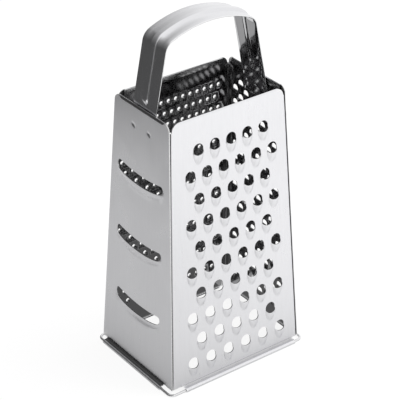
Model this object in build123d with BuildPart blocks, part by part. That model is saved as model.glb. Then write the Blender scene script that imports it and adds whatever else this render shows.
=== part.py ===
"""Four-sided kitchen grater: four tapered sheet walls, a wired base rim and a strap handle.

Millimetres, +Z up. The origin is on the table, under the middle of the body. The coarse wall
faces -Y, the slicing wall -X, the medium wall +X and the fine wall +Y.
"""
import math
import os

from build123d import *

os.makedirs("parts", exist_ok=True)

# Overall sizes of the object
body_height = 181.0
handle_rise = 50.7
base_width = 100.4
base_depth = 76.0
top_width = 85.2
top_depth = 54.4
sheet = 0.6
overall_height = body_height + handle_rise

# Rolled rim at the base: every wall flares outwards and is curled round one ring of wire
wire_diameter = 1.7
rim_flat_depth = 0.3
flare_reach = 2.05
flare_drop = 0.8
wire_radius = wire_diameter / 2
curl_radius = wire_radius + sheet
rim_level = curl_radius - rim_flat_depth
wire_corner_radius = 3.6
open_corner_gap = 9.0
tight_corner_gap = 4.6
wall_foot_level = rim_level + curl_radius + flare_drop

# Corner seams and top edges
lap_length = 4.2
hem_height = 4.0
wide_hem_inset = 6.1
side_hem_inset = 3.8
wide_corner_radius = 5.6
side_corner_radius = 4.4
lap_top_drop = 7.0
cut_margin = 6.0

# Coarse wall: ten rows of five and six round-topped teeth
coarse_rows = 10
coarse_few = 5
coarse_pitch_share = 0.1377
coarse_first_row_share = 0.8838
coarse_row_share = 0.0896
coarse_half_width = 3.6
coarse_lip_rise = 1.7
coarse_scoop_length = 6.8
coarse_above_centre = 3.6
coarse_below_centre = 3.2
coarse_shift = 1.2

# Medium wall: the same tooth, smaller
medium_rows = 30
medium_few = 4
medium_pitch_share = 0.1855
medium_first_row_share = 0.9127
medium_row_share = 0.0286
medium_half_width = 2.3
medium_lip_rise = 1.3
medium_scoop_length = 4.2
medium_above_centre = 2.6
medium_below_centre = 2.1

# Fine wall: many small holes pierced through raised six-sided points
fine_rows = 18
fine_few = 13
fine_sides = 6
fine_pitch_share = 0.0628
fine_first_row_share = 0.896
fine_row_share = 0.0462
fine_shift = 0.5
fine_long_first = 1
fine_hole_radius = 1.3
fine_point_foot_radius = 2.35
fine_point_tip_radius = 1.65
fine_point_rise = 0.9

# Slicing wall: three smile-shaped blades
slot_count = 3
slot_first_level = 46.5
slot_pitch = 45.2
slot_half_width = 23.0
slot_sag = 2.5
slot_opening = 5.4
slot_end_radius = 2.3
slot_lip_rise = 2.2
slot_scoop_length = 6.4
weld_drop = 13.4
weld_spacing = 15.6
weld_dent_radius = 4.2
weld_dent_depth = 0.22

# Strap handle
strap_width = 23.0
strap_thickness = 0.9
leg_depth_inside = 16.5
leg_bend_drop = 10.0
leg_lean_deg = 11.0
arch_radius = 69.0
shoulder_radius = 9.0
rib_width = 5.8
rib_height = 1.3
rib_wall = 0.9
rib_end_rise = 2.5
rib_runout = 2.4

# Levels of the handle's features, all measured from the top edge of the walls
leg_bottom = body_height - leg_depth_inside
leg_bend_level = body_height - leg_bend_drop
weld_level = body_height - weld_drop
rib_end_level = body_height + rib_end_rise

# Slopes of the tapered body
body_span = body_height - rim_level
width_slope = (base_width - top_width) / 2 / body_span
depth_slope = (base_depth - top_depth) / 2 / body_span
width_lean = math.atan(width_slope)
depth_lean = math.atan(depth_slope)


def half_width(level):
    """Half width of the body's outside at a height above the table."""
    return base_width / 2 - width_slope * (level - rim_level)


def half_depth(level):
    """Half depth of the body's outside at a height above the table."""
    return base_depth / 2 - depth_slope * (level - rim_level)


# Planes on the outer face of each wall: x across, y up the slope, z outwards
coarse_plane = Plane(
    origin=(0, -base_depth / 2, rim_level),
    x_dir=(1, 0, 0),
    z_dir=(0, -math.cos(depth_lean), math.sin(depth_lean)),
)
fine_plane = Plane(
    origin=(0, base_depth / 2, rim_level),
    x_dir=(-1, 0, 0),
    z_dir=(0, math.cos(depth_lean), math.sin(depth_lean)),
)
slicer_plane = Plane(
    origin=(-base_width / 2, 0, rim_level),
    x_dir=(0, -1, 0),
    z_dir=(-math.cos(width_lean), 0, math.sin(width_lean)),
)
medium_plane = Plane(
    origin=(base_width / 2, 0, rim_level),
    x_dir=(0, 1, 0),
    z_dir=(math.cos(width_lean), 0, math.sin(width_lean)),
)


def channel_points(level, front):
    """Plan outline of a wide wall with its two side laps; front is -1 or 1."""
    outer_x = half_width(level) - sheet
    inner_x = outer_x - sheet
    outer_y = half_depth(level)
    inner_y = outer_y - sheet
    lap_y = outer_y - lap_length
    return [
        (-outer_x, front * outer_y),
        (outer_x, front * outer_y),
        (outer_x, front * lap_y),
        (inner_x, front * lap_y),
        (inner_x, front * inner_y),
        (-inner_x, front * inner_y),
        (-inner_x, front * lap_y),
        (-outer_x, front * lap_y),
    ]


def side_points(level, side):
    """Plan outline of a side wall, which runs the full depth; side is -1 or 1."""
    outer_x = side * half_width(level)
    inner_x = side * (half_width(level) - sheet)
    deep = half_depth(level)
    return [(outer_x, -deep), (outer_x, deep), (inner_x, deep), (inner_x, -deep)]


def flare_points(face, ring, side):
    """Section of the strip that bends out from a wall's foot to the top of the curl."""
    return [
        (side * (face - sheet), wall_foot_level),
        (side * face, wall_foot_level),
        (side * ring, rim_level + curl_radius),
        (side * ring, rim_level + wire_radius),
        (side * (face - sheet), wall_foot_level - sheet),
    ]


ring_half_width = base_width / 2 + flare_reach
ring_half_depth = base_depth / 2 + flare_reach
wide_hem_half = half_width(body_height) - wide_hem_inset
side_hem_half = half_depth(body_height) - side_hem_inset


def wide_hem_points(level, front):
    """Plan outline of the folded hem inside a wide wall."""
    outer_y = front * (half_depth(level) - sheet)
    inner_y = front * (half_depth(level) - 2 * sheet)
    return [
        (-wide_hem_half, outer_y),
        (wide_hem_half, outer_y),
        (wide_hem_half, inner_y),
        (-wide_hem_half, inner_y),
    ]


def side_hem_points(level, side):
    """Plan outline of the folded hem inside a side wall."""
    outer_x = side * (half_width(level) - sheet)
    inner_x = side * (half_width(level) - 2 * sheet)
    return [
        (outer_x, -side_hem_half),
        (outer_x, side_hem_half),
        (inner_x, side_hem_half),
        (inner_x, -side_hem_half),
    ]


def row_spots(plane, span, rows, first_share, row_share, pitch_share, few, shift=0, start=0):
    """Places of the teeth on a wall: rows of few and few + 1, fanned out with the taper."""
    spots = []
    for row in range(rows):
        share = first_share - row * row_share
        level = wall_foot_level + share * (body_height - wall_foot_level)
        pitch = pitch_share * span(level)
        count = few + (row + start) % 2
        up_slope = (level - rim_level) / math.cos(depth_lean)
        for column in range(count):
            across = (column - (count - 1) / 2) * pitch + shift
            spots.append(plane.location * Location((across, up_slope, 0)))
    return spots


# One coarse or medium tooth is a round-topped hole with a half-cone scoop below it
def scoop_sizes(half, rise):
    """Radius of the scoop's cone at the lip, and the depth of its axis below the wall face."""
    radius = (half * half + rise * rise) / (2 * rise)
    return radius, radius - rise


coarse_radius, coarse_depth = scoop_sizes(coarse_half_width, coarse_lip_rise)
medium_radius, medium_depth = scoop_sizes(medium_half_width, medium_lip_rise)
slot_radius, slot_depth = scoop_sizes(slot_half_width, slot_lip_rise)
slot_arc_radius, slot_arc_offset = scoop_sizes(slot_half_width, slot_sag)

coarse_taper = coarse_lip_rise / coarse_scoop_length
medium_taper = medium_lip_rise / medium_scoop_length
slot_taper = slot_lip_rise / slot_scoop_length


def scoop_solid(radius, depth, taper, length, below):
    """Raised half-cone under a hole; its wide end is the lip."""
    lip_plane = Plane(origin=(0, -below, -depth), x_dir=(1, 0, 0), z_dir=(0, -1, 0))
    with BuildPart() as scoop:
        with Locations(lip_plane):
            Cone(
                bottom_radius=radius,
                top_radius=radius - taper * length,
                height=length,
                align=(Align.CENTER, Align.CENTER, Align.MIN),
            )
        with Locations((0, -below - length / 2, -sheet / 2)):
            Box(
                3 * radius,
                2 * length,
                2 * radius,
                align=(Align.CENTER, Align.CENTER, Align.MIN),
                mode=Mode.INTERSECT,
            )
    return scoop.part


def scoop_void(half, radius, depth, taper, length, above, below):
    """Round-topped hole through the sheet, with the hollow inside its scoop."""
    lip_plane = Plane(origin=(0, -below + sheet, -depth), x_dir=(1, 0, 0), z_dir=(0, -1, 0))
    with BuildPart() as void:
        with BuildSketch(Plane.XY.offset(-2 * sheet)):
            with Locations((0, above - half)):
                Circle(half)
            with Locations((0, -below)):
                Rectangle(2 * half, below + above - half, align=(Align.CENTER, Align.MIN))
        extrude(amount=4 * sheet)
        with Locations(lip_plane):
            Cone(
                bottom_radius=radius - sheet + taper * sheet,
                top_radius=radius - sheet - taper * length,
                height=length + sheet,
                align=(Align.CENTER, Align.CENTER, Align.MIN),
            )
        with Locations((0, -length / 2, -2 * sheet)):
            Box(
                3 * radius,
                4 * length,
                2 * radius,
                align=(Align.CENTER, Align.CENTER, Align.MIN),
                mode=Mode.INTERSECT,
            )
    return void.part


coarse_scoop = scoop_solid(coarse_radius, coarse_depth, coarse_taper, coarse_scoop_length,
                           coarse_below_centre)
coarse_void = scoop_void(coarse_half_width, coarse_radius, coarse_depth, coarse_taper,
                         coarse_scoop_length, coarse_above_centre, coarse_below_centre)
medium_scoop = scoop_solid(medium_radius, medium_depth, medium_taper, medium_scoop_length,
                           medium_below_centre)
medium_void = scoop_void(medium_half_width, medium_radius, medium_depth, medium_taper,
                         medium_scoop_length, medium_above_centre, medium_below_centre)

# A fine tooth is a raised point with flat sides and a hole of the same form through it
with BuildPart() as fine_point:
    with BuildSketch(Plane.XY.offset(-sheet / 2)):
        RegularPolygon(fine_point_foot_radius, fine_sides)
    with BuildSketch(Plane.XY.offset(fine_point_rise)):
        RegularPolygon(fine_point_tip_radius, fine_sides)
    loft(ruled=True)

with BuildPart() as fine_void:
    with BuildSketch(Plane.XY.offset(-2 * sheet)):
        RegularPolygon(fine_hole_radius, fine_sides)
    extrude(amount=4 * sheet + fine_point_rise)

# A slicing blade is a wide shallow scoop whose lip is cut along a smile-shaped arc
slot_arc_centre = slot_arc_offset - slot_opening / 2
with BuildPart() as slot_scoop:
    with Locations(Plane(origin=(0, 0, -slot_depth), x_dir=(1, 0, 0), z_dir=(0, -1, 0))):
        Cone(
            bottom_radius=slot_radius + slot_taper * (slot_sag + slot_opening / 2),
            top_radius=slot_depth,
            height=slot_scoop_length + slot_sag + slot_opening / 2,
            align=(Align.CENTER, Align.CENTER, Align.MIN),
        )
    with Locations((0, -slot_scoop_length, -sheet / 2)):
        Box(
            3 * slot_half_width,
            4 * slot_scoop_length,
            4 * slot_lip_rise,
            align=(Align.CENTER, Align.CENTER, Align.MIN),
            mode=Mode.INTERSECT,
        )
    with Locations((0, slot_arc_centre, -sheet)):
        Cylinder(
            slot_arc_radius,
            8 * slot_lip_rise,
            align=(Align.CENTER, Align.CENTER, Align.MIN),
            mode=Mode.SUBTRACT,
        )

with BuildPart() as slot_void:
    with BuildSketch(Plane.XY.offset(-2 * sheet)):
        with Locations((0, slot_arc_centre)):
            Circle(slot_arc_radius)
        with Locations((0, slot_arc_centre + slot_opening)):
            Circle(slot_arc_radius, mode=Mode.SUBTRACT)
        Rectangle(2 * slot_half_width, 8 * slot_opening, mode=Mode.INTERSECT)
    extrude(amount=4 * sheet)
    fillet(slot_void.edges().filter_by(Axis.Z), radius=slot_end_radius)

with BuildPart() as slot_hollow:
    with Locations(Plane(origin=(0, sheet, -slot_depth), x_dir=(1, 0, 0), z_dir=(0, -1, 0))):
        Cone(
            bottom_radius=slot_radius - sheet + slot_taper * (slot_sag + slot_opening / 2 + sheet),
            top_radius=slot_depth - sheet,
            height=slot_scoop_length + slot_sag + slot_opening / 2 + sheet,
            align=(Align.CENTER, Align.CENTER, Align.MIN),
        )
    with Locations((0, -slot_scoop_length, -2 * sheet)):
        Box(
            3 * slot_half_width,
            4 * slot_scoop_length,
            4 * slot_lip_rise,
            align=(Align.CENTER, Align.CENTER, Align.MIN),
            mode=Mode.INTERSECT,
        )
    with Locations((0, slot_arc_centre + slot_opening / 4, -4 * sheet)):
        Cylinder(
            slot_arc_radius,
            8 * slot_lip_rise,
            align=(Align.CENTER, Align.CENTER, Align.MIN),
            mode=Mode.SUBTRACT,
        )

# Corner shapes cut away at the top of the walls
with BuildPart() as wide_corner_cuts:
    with BuildSketch(Plane.XZ):
        for side in (-1, 1):
            corner_x = side * (half_width(body_height) - sheet)
            with Locations((corner_x - side * wide_corner_radius / 2 + side * cut_margin / 2,
                            body_height - wide_corner_radius / 2)):
                Rectangle(wide_corner_radius + cut_margin, wide_corner_radius)
            with Locations((corner_x - side * wide_corner_radius,
                            body_height - wide_corner_radius)):
                Circle(wide_corner_radius, mode=Mode.SUBTRACT)
    extrude(amount=base_depth, both=True)

with BuildPart() as side_corner_cuts:
    with BuildSketch(Plane.YZ):
        for side in (-1, 1):
            corner_y = side * half_depth(body_height)
            with Locations((corner_y - side * side_corner_radius / 2 + side * cut_margin / 2,
                            body_height - side_corner_radius / 2)):
                Rectangle(side_corner_radius + cut_margin, side_corner_radius)
            with Locations((corner_y - side * side_corner_radius,
                            body_height - side_corner_radius)):
                Circle(side_corner_radius, mode=Mode.SUBTRACT)
    extrude(amount=base_width, both=True)


def build_wide_wall(front, first_gap, second_gap):
    """A wide wall without its teeth; the gaps are at its -X and +X ends."""
    curl_start = -base_width / 2 + first_gap
    curl_end = base_width / 2 - second_gap
    with BuildPart() as wall:
        with BuildSketch(Plane.XY.offset(wall_foot_level)):
            with BuildLine():
                Polyline(*channel_points(wall_foot_level, front), close=True)
            make_face()
        with BuildSketch(Plane.XY.offset(body_height)):
            with BuildLine():
                Polyline(*channel_points(body_height, front), close=True)
            make_face()
        loft(ruled=True)
        # Rounded top corners, then the laps end lower than the hem
        add(wide_corner_cuts.part, mode=Mode.SUBTRACT)
        with Locations((0, 0, body_height - lap_top_drop)):
            Box(
                2 * base_width,
                2 * (half_depth(body_height) - sheet),
                2 * lap_top_drop,
                align=(Align.CENTER, Align.CENTER, Align.MIN),
                mode=Mode.SUBTRACT,
            )
        # Folded hem along the top
        with BuildSketch(Plane.XY.offset(body_height - hem_height)):
            with BuildLine():
                Polyline(*wide_hem_points(body_height - hem_height, front), close=True)
            make_face()
        with BuildSketch(Plane.XY.offset(body_height)):
            with BuildLine():
                Polyline(*wide_hem_points(body_height, front), close=True)
            make_face()
        loft(ruled=True)
        # Flare at the foot, and the curl round the wire
        with BuildSketch(Plane.YZ.offset(curl_start)):
            with BuildLine():
                Polyline(*flare_points(half_depth(wall_foot_level), ring_half_depth, front),
                         close=True)
            make_face()
        extrude(amount=curl_end - curl_start)
        with BuildSketch(Plane.YZ.offset(curl_start)):
            with Locations((front * ring_half_depth, rim_level)):
                Circle(curl_radius)
        extrude(amount=curl_end - curl_start)
        with BuildSketch(Plane.YZ.offset(curl_start)):
            with Locations((front * ring_half_depth, rim_level)):
                Circle(wire_radius)
        extrude(amount=curl_end - curl_start, mode=Mode.SUBTRACT)
        with Locations((0, front * base_depth / 2, 0)):
            Box(
                2 * base_width,
                8 * curl_radius,
                2 * curl_radius,
                align=(Align.CENTER, Align.CENTER, Align.MAX),
                mode=Mode.SUBTRACT,
            )
    return wall


def build_side_wall(side, first_gap, second_gap):
    """A side wall without its teeth; the gaps are at its -Y and +Y ends."""
    curl_start = -base_depth / 2 + first_gap
    curl_end = base_depth / 2 - second_gap
    plane = slicer_plane if side < 0 else medium_plane
    with BuildPart() as wall:
        with BuildSketch(Plane.XY.offset(wall_foot_level)):
            with BuildLine():
                Polyline(*side_points(wall_foot_level, side), close=True)
            make_face()
        with BuildSketch(Plane.XY.offset(body_height)):
            with BuildLine():
                Polyline(*side_points(body_height, side), close=True)
            make_face()
        loft(ruled=True)
        add(side_corner_cuts.part, mode=Mode.SUBTRACT)
        with BuildSketch(Plane.XY.offset(body_height - hem_height)):
            with BuildLine():
                Polyline(*side_hem_points(body_height - hem_height, side), close=True)
            make_face()
        with BuildSketch(Plane.XY.offset(body_height)):
            with BuildLine():
                Polyline(*side_hem_points(body_height, side), close=True)
            make_face()
        loft(ruled=True)
        with BuildSketch(Plane.XZ.offset(-curl_end)):
            with BuildLine():
                Polyline(*flare_points(half_width(wall_foot_level), ring_half_width, side),
                         close=True)
            make_face()
        extrude(amount=curl_end - curl_start)
        with BuildSketch(Plane.XZ.offset(-curl_end)):
            with Locations((side * ring_half_width, rim_level)):
                Circle(curl_radius)
        extrude(amount=curl_end - curl_start)
        with BuildSketch(Plane.XZ.offset(-curl_end)):
            with Locations((side * ring_half_width, rim_level)):
                Circle(wire_radius)
        extrude(amount=curl_end - curl_start, mode=Mode.SUBTRACT)
        with Locations((side * base_width / 2, 0, 0)):
            Box(
                8 * curl_radius,
                2 * base_depth,
                2 * curl_radius,
                align=(Align.CENTER, Align.CENTER, Align.MAX),
                mode=Mode.SUBTRACT,
            )
        # Shallow dents of the two spot welds that hold the handle
        for place in (-1, 1):
            with Locations(plane.location * Location((
                    place * weld_spacing / 2,
                    (weld_level - rim_level) / math.cos(width_lean),
                    weld_dent_radius - weld_dent_depth))):
                Sphere(weld_dent_radius, mode=Mode.SUBTRACT)
    return wall


def wide_span(level):
    """Outside width of the body at a height."""
    return 2 * half_width(level)


def deep_span(level):
    """Outside depth of the body at a height."""
    return 2 * half_depth(level)


coarse_spots = row_spots(coarse_plane, wide_span, coarse_rows, coarse_first_row_share,
                         coarse_row_share, coarse_pitch_share, coarse_few, coarse_shift)
coarse_panel = build_wide_wall(-1, open_corner_gap, tight_corner_gap)
with coarse_panel:
    with Locations(*coarse_spots):
        add(coarse_scoop, clean=False)
    with Locations(*coarse_spots):
        add(coarse_void, clean=False, mode=Mode.SUBTRACT)

fine_spots = row_spots(fine_plane, wide_span, fine_rows, fine_first_row_share,
                       fine_row_share, fine_pitch_share, fine_few, fine_shift,
                       fine_long_first)
fine_panel = build_wide_wall(1, tight_corner_gap, tight_corner_gap)
with fine_panel:
    with Locations(*fine_spots):
        add(fine_point.part, clean=False)
    with Locations(*fine_spots):
        add(fine_void.part, clean=False, mode=Mode.SUBTRACT)

slot_levels = [slot_first_level + slot_pitch * index for index in range(slot_count)]
slot_spots = [
    slicer_plane.location * Location((0, (level - rim_level) / math.cos(width_lean), 0))
    for level in slot_levels
]
slicer_panel = build_side_wall(-1, open_corner_gap, tight_corner_gap)
with slicer_panel:
    with Locations(*slot_spots):
        add(slot_scoop.part)
    with Locations(*slot_spots):
        add(slot_hollow.part, mode=Mode.SUBTRACT)
    with Locations(*slot_spots):
        add(slot_void.part, mode=Mode.SUBTRACT)

medium_spots = row_spots(medium_plane, deep_span, medium_rows, medium_first_row_share,
                         medium_row_share, medium_pitch_share, medium_few)
medium_panel = build_side_wall(1, tight_corner_gap, tight_corner_gap)
with medium_panel:
    with Locations(*medium_spots):
        add(medium_scoop, clean=False)
    with Locations(*medium_spots):
        add(medium_void, clean=False, mode=Mode.SUBTRACT)

# Ring of wire inside the curls, bare at the four corners
with BuildPart() as base_wire:
    with BuildLine(Plane.XY.offset(rim_level)):
        FilletPolyline(
            (ring_half_width, -ring_half_depth),
            (ring_half_width, ring_half_depth),
            (-ring_half_width, ring_half_depth),
            (-ring_half_width, -ring_half_depth),
            radius=wire_corner_radius,
            close=True,
        )
    with BuildSketch(Plane(origin=(ring_half_width, 0, rim_level), z_dir=(0, 1, 0))):
        Circle(wire_radius)
    sweep()

# Strap handle: two legs inside the side walls, tight shoulders and a shallow arch
leg_angle = math.radians(leg_lean_deg)
leg_lean = math.tan(leg_angle)
leg_start_x = half_width(leg_bend_level) - sheet
arch_centre = overall_height - rib_height - arch_radius
leg_dir = (-math.sin(leg_angle), math.cos(leg_angle))
leg_in = (-math.cos(leg_angle), -math.sin(leg_angle))


def strap_knots(inset):
    """Right-hand knots of the strap curve that lies inset inwards from its outer face."""
    start = (leg_start_x + leg_in[0] * inset, leg_bend_level + leg_in[1] * inset)
    base_x = leg_start_x + leg_in[0] * shoulder_radius
    base_z = leg_bend_level + leg_in[1] * shoulder_radius - arch_centre
    reach = arch_radius - shoulder_radius
    half_b = base_x * leg_dir[0] + base_z * leg_dir[1]
    left_over = base_x * base_x + base_z * base_z - reach * reach
    along = -half_b + math.sqrt(half_b * half_b - left_over)
    centre = (base_x + along * leg_dir[0], base_z + along * leg_dir[1] + arch_centre)
    radius = shoulder_radius - inset
    first = (centre[0] - leg_in[0] * radius, centre[1] - leg_in[1] * radius)
    arch_angle = math.atan2(centre[0], centre[1] - arch_centre)
    second = (centre[0] + radius * math.sin(arch_angle), centre[1] + radius * math.cos(arch_angle))
    leg_side = math.atan2(-leg_in[0], -leg_in[1])
    middle_angle = (leg_side + arch_angle) / 2
    middle = (centre[0] + radius * math.sin(middle_angle), centre[1] + radius * math.cos(middle_angle))
    apex = (0, arch_centre + arch_radius - inset)
    return start, first, middle, second, apex


def leg_point(inset, level):
    """Point at a height on the leaning leg, inset inwards from its outer face."""
    start = strap_knots(inset)[0]
    return (start[0] - leg_lean * (level - start[1]), level)


def mirrored(point):
    """The same point on the left-hand side."""
    return (-point[0], point[1])


def wall_point(inset, level):
    """Point on the welded foot of the leg, inset inwards from the wall's inner face."""
    return (half_width(level) - sheet - inset / math.cos(width_lean), level)


def strap_curve(inset, end):
    """Curve from a point on the right leg over the arch to its mirror point."""
    start, first, middle, second, apex = strap_knots(inset)
    Line(end, first)
    ThreePointArc(first, middle, second)
    ThreePointArc(second, apex, mirrored(second))
    ThreePointArc(mirrored(second), mirrored(middle), mirrored(first))
    Line(mirrored(first), mirrored(end))


foot_outer = wall_point(0, leg_bottom)
foot_inner = wall_point(strap_thickness, leg_bottom)
bend_outer = wall_point(0, leg_bend_level)
bend_inner = leg_point(strap_thickness, leg_bend_level)
rib_low_outer = leg_point(0, rib_end_level)
rib_high_outer = leg_point(-rib_height, rib_end_level + rib_runout)
groove_low = leg_point(strap_thickness, rib_end_level)
groove_high = leg_point(rib_wall - rib_height, rib_end_level + rib_runout)

with BuildPart() as handle:
    with BuildSketch(Plane.XZ):
        with BuildLine():
            strap_curve(0, bend_outer)
            Line(bend_outer, foot_outer)
            Line(foot_outer, foot_inner)
            Line(foot_inner, bend_inner)
            strap_curve(strap_thickness, bend_inner)
            Line(mirrored(bend_inner), mirrored(foot_inner))
            Line(mirrored(foot_inner), mirrored(foot_outer))
            Line(mirrored(foot_outer), mirrored(bend_outer))
        make_face()
    extrude(amount=strap_width / 2, both=True)
    # Pressed rib along the middle, open as a groove on the inner side
    with BuildSketch(Plane.XZ):
        with BuildLine():
            strap_curve(-rib_height, rib_high_outer)
            Line(rib_high_outer, rib_low_outer)
            strap_curve(0, rib_low_outer)
            Line(mirrored(rib_low_outer), mirrored(rib_high_outer))
        make_face()
    extrude(amount=rib_width / 2, both=True)
    with BuildSketch(Plane.XZ):
        with BuildLine():
            strap_curve(rib_wall - rib_height, groove_high)
            Line(groove_high, groove_low)
            strap_curve(strap_thickness, groove_low)
            Line(mirrored(groove_low), mirrored(groove_high))
        make_face()
    extrude(amount=rib_width / 2 - rib_wall, both=True, mode=Mode.SUBTRACT)

coarse_panel.part.label = "coarse_panel"
fine_panel.part.label = "fine_panel"
slicer_panel.part.label = "slicer_panel"
medium_panel.part.label = "medium_panel"
base_wire.part.label = "base_wire"
handle.part.label = "handle"

export_step(coarse_panel.part, "parts/coarse_panel.step")
export_step(fine_panel.part, "parts/fine_panel.step")
export_step(slicer_panel.part, "parts/slicer_panel.step")
export_step(medium_panel.part, "parts/medium_panel.step")
export_step(base_wire.part, "parts/base_wire.step")
export_step(handle.part, "parts/handle.step")
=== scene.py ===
"""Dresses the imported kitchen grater: rolled steel walls, punched teeth, wire rim and strap handle.

Metres, +Z up. The coarse wall faces -Y, the slicing wall -X, the medium wall +X and the fine
wall +Y. Each shape is a function of two parameters on a grid, worked out as whole arrays.
"""
from __future__ import annotations

import logging
import math
from dataclasses import dataclass, field
from enum import Enum

import bmesh
import bpy
import numpy as np
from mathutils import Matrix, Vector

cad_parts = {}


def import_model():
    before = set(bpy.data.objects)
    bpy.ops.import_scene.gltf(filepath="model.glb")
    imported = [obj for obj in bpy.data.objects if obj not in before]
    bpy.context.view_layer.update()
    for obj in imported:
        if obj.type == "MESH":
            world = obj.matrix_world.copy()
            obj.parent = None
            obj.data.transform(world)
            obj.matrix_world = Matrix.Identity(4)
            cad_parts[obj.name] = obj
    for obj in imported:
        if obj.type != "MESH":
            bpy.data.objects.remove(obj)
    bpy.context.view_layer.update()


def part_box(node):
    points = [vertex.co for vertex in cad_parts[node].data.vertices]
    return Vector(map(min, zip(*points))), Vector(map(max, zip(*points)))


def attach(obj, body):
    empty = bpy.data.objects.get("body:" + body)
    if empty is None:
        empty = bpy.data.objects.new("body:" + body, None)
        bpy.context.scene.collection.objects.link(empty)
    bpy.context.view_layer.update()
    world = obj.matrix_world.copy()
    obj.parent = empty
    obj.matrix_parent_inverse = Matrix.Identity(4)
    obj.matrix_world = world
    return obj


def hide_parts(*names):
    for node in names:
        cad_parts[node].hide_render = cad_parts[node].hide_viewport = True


MM = 0.001
BODY = "root"
LOG = logging.getLogger("grater")
Array = np.ndarray
Piece = bpy.types.Object
Material = bpy.types.Material
Tree = bpy.types.NodeTree
ShaderTree = bpy.types.ShaderNodeTree
Node = bpy.types.Node
Socket = bpy.types.NodeSocket

# How worn and bright the edges are, from 0 to 1
CUT_WEAR = 0.8
FOLD_WEAR = 0.25
HEM_WEAR = 0.6
CURL_WEAR = 0.9
CAP_WEAR = 0.7
WIRE_WEAR = 0.2
# How much painted shade the hem's fold gets, as a share of the inner faces' full painted shade
FOLD_SHADE = 0.5

SEEN_RAYS = ("Is Camera Ray", "Is Glossy Ray", "Is Transmission Ray")


@dataclass(frozen=True)
class BodySizes:
    """Main sizes of the tapered body, in metres.

    Attributes:
        height: level of the walls' top edge.
        overall: level of the handle's highest point.
        base_half_width: half outside width at the rim level.
        base_half_depth: half outside depth at the rim level.
        top_half_width: half outside width at the top edge.
        top_half_depth: half outside depth at the top edge.
        sheet: thickness of the sheet.
        wire_radius: radius of the rim's wire.
        rim_level: level of the wire's middle.
        flare_reach: distance of the wire's middle from the wall's face.
        flare_level: level from which the walls bend outwards.
        foot_level: lower end of the walls at the corners; the rows are counted from it.
    """

    height: float
    overall: float
    base_half_width: float
    base_half_depth: float
    top_half_width: float
    top_half_depth: float = 27.2 * MM
    sheet: float = 0.6 * MM
    wire_radius: float = 0.85 * MM
    rim_level: float = 1.15 * MM
    flare_reach: float = 2.05 * MM
    flare_level: float = 3.6 * MM
    foot_level: float = 3.4 * MM

    @classmethod
    def from_frame(cls) -> "BodySizes":
        """Reads the body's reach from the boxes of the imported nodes."""
        slicer_low, slicer_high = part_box("slicer_panel")
        coarse_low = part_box("coarse_panel")[0]
        bead = cls.flare_reach + cls.wire_radius + cls.sheet
        return cls(
            height=slicer_high.z,
            overall=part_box("handle")[1].z,
            base_half_width=-slicer_low.x - bead,
            base_half_depth=-coarse_low.y - bead,
            top_half_width=-slicer_high.x + 2 * cls.sheet,
        )

    @property
    def curl_radius(self) -> float:
        """Outer radius of the curled rim."""
        return self.wire_radius + self.sheet

    def half_width(self, level: float) -> float:
        """Half outside width of the body at a level."""
        share = (level - self.rim_level) / (self.height - self.rim_level)
        return self.base_half_width + share * (self.top_half_width - self.base_half_width)


@dataclass(frozen=True)
class WallFrame:
    """Flat outer face of one wall, with u across, v up its slope and w outwards.

    Attributes:
        outward: horizontal unit direction that the wall faces.
        reach: distance of the face from the body's axis at the rim level.
        lean: angle by which the face leans inwards, in radians.
        rim_level: level where v is zero.
        length: length of the face along its slope.
        base_half: half span of the face at v = 0.
        top_half: half span of the face at v = length.
    """

    outward: tuple[float, float]
    reach: float
    lean: float
    rim_level: float
    length: float
    base_half: float
    top_half: float

    @property
    def out(self) -> Array:
        """Unit normal of the face."""
        return np.array([*(math.cos(self.lean) * np.array(self.outward)), math.sin(self.lean)])

    @property
    def up(self) -> Array:
        """Unit direction up the slope."""
        return np.array([*(-math.sin(self.lean) * np.array(self.outward)), math.cos(self.lean)])

    @property
    def across(self) -> Array:
        """Unit direction across the face."""
        return np.cross(self.up, self.out)

    def half(self, v: Array | float) -> Array | float:
        """Half span of the face at a height v up its slope; it shrinks steadily."""
        return self.base_half + (self.top_half - self.base_half) * v / self.length

    def climb(self, level: float) -> float:
        """Slope coordinate v of a level above the table."""
        return (level - self.rim_level) / math.cos(self.lean)

    def place(self, u: Array, v: Array, w: Array | float) -> Array:
        """Points of the part's frame: origin + u across + v up + w out.

        Args:
            u: coordinates across the wall.
            v: coordinates up the slope.
            w: heights above the outer face.

        Returns:
            An array of the inputs' shape with a last axis of three.
        """
        u, v, w = np.broadcast_arrays(u, v, w)
        origin = np.array([*(self.reach * np.array(self.outward)), self.rim_level])
        return (origin + u[..., None] * self.across + v[..., None] * self.up
                + w[..., None] * self.out)


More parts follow.
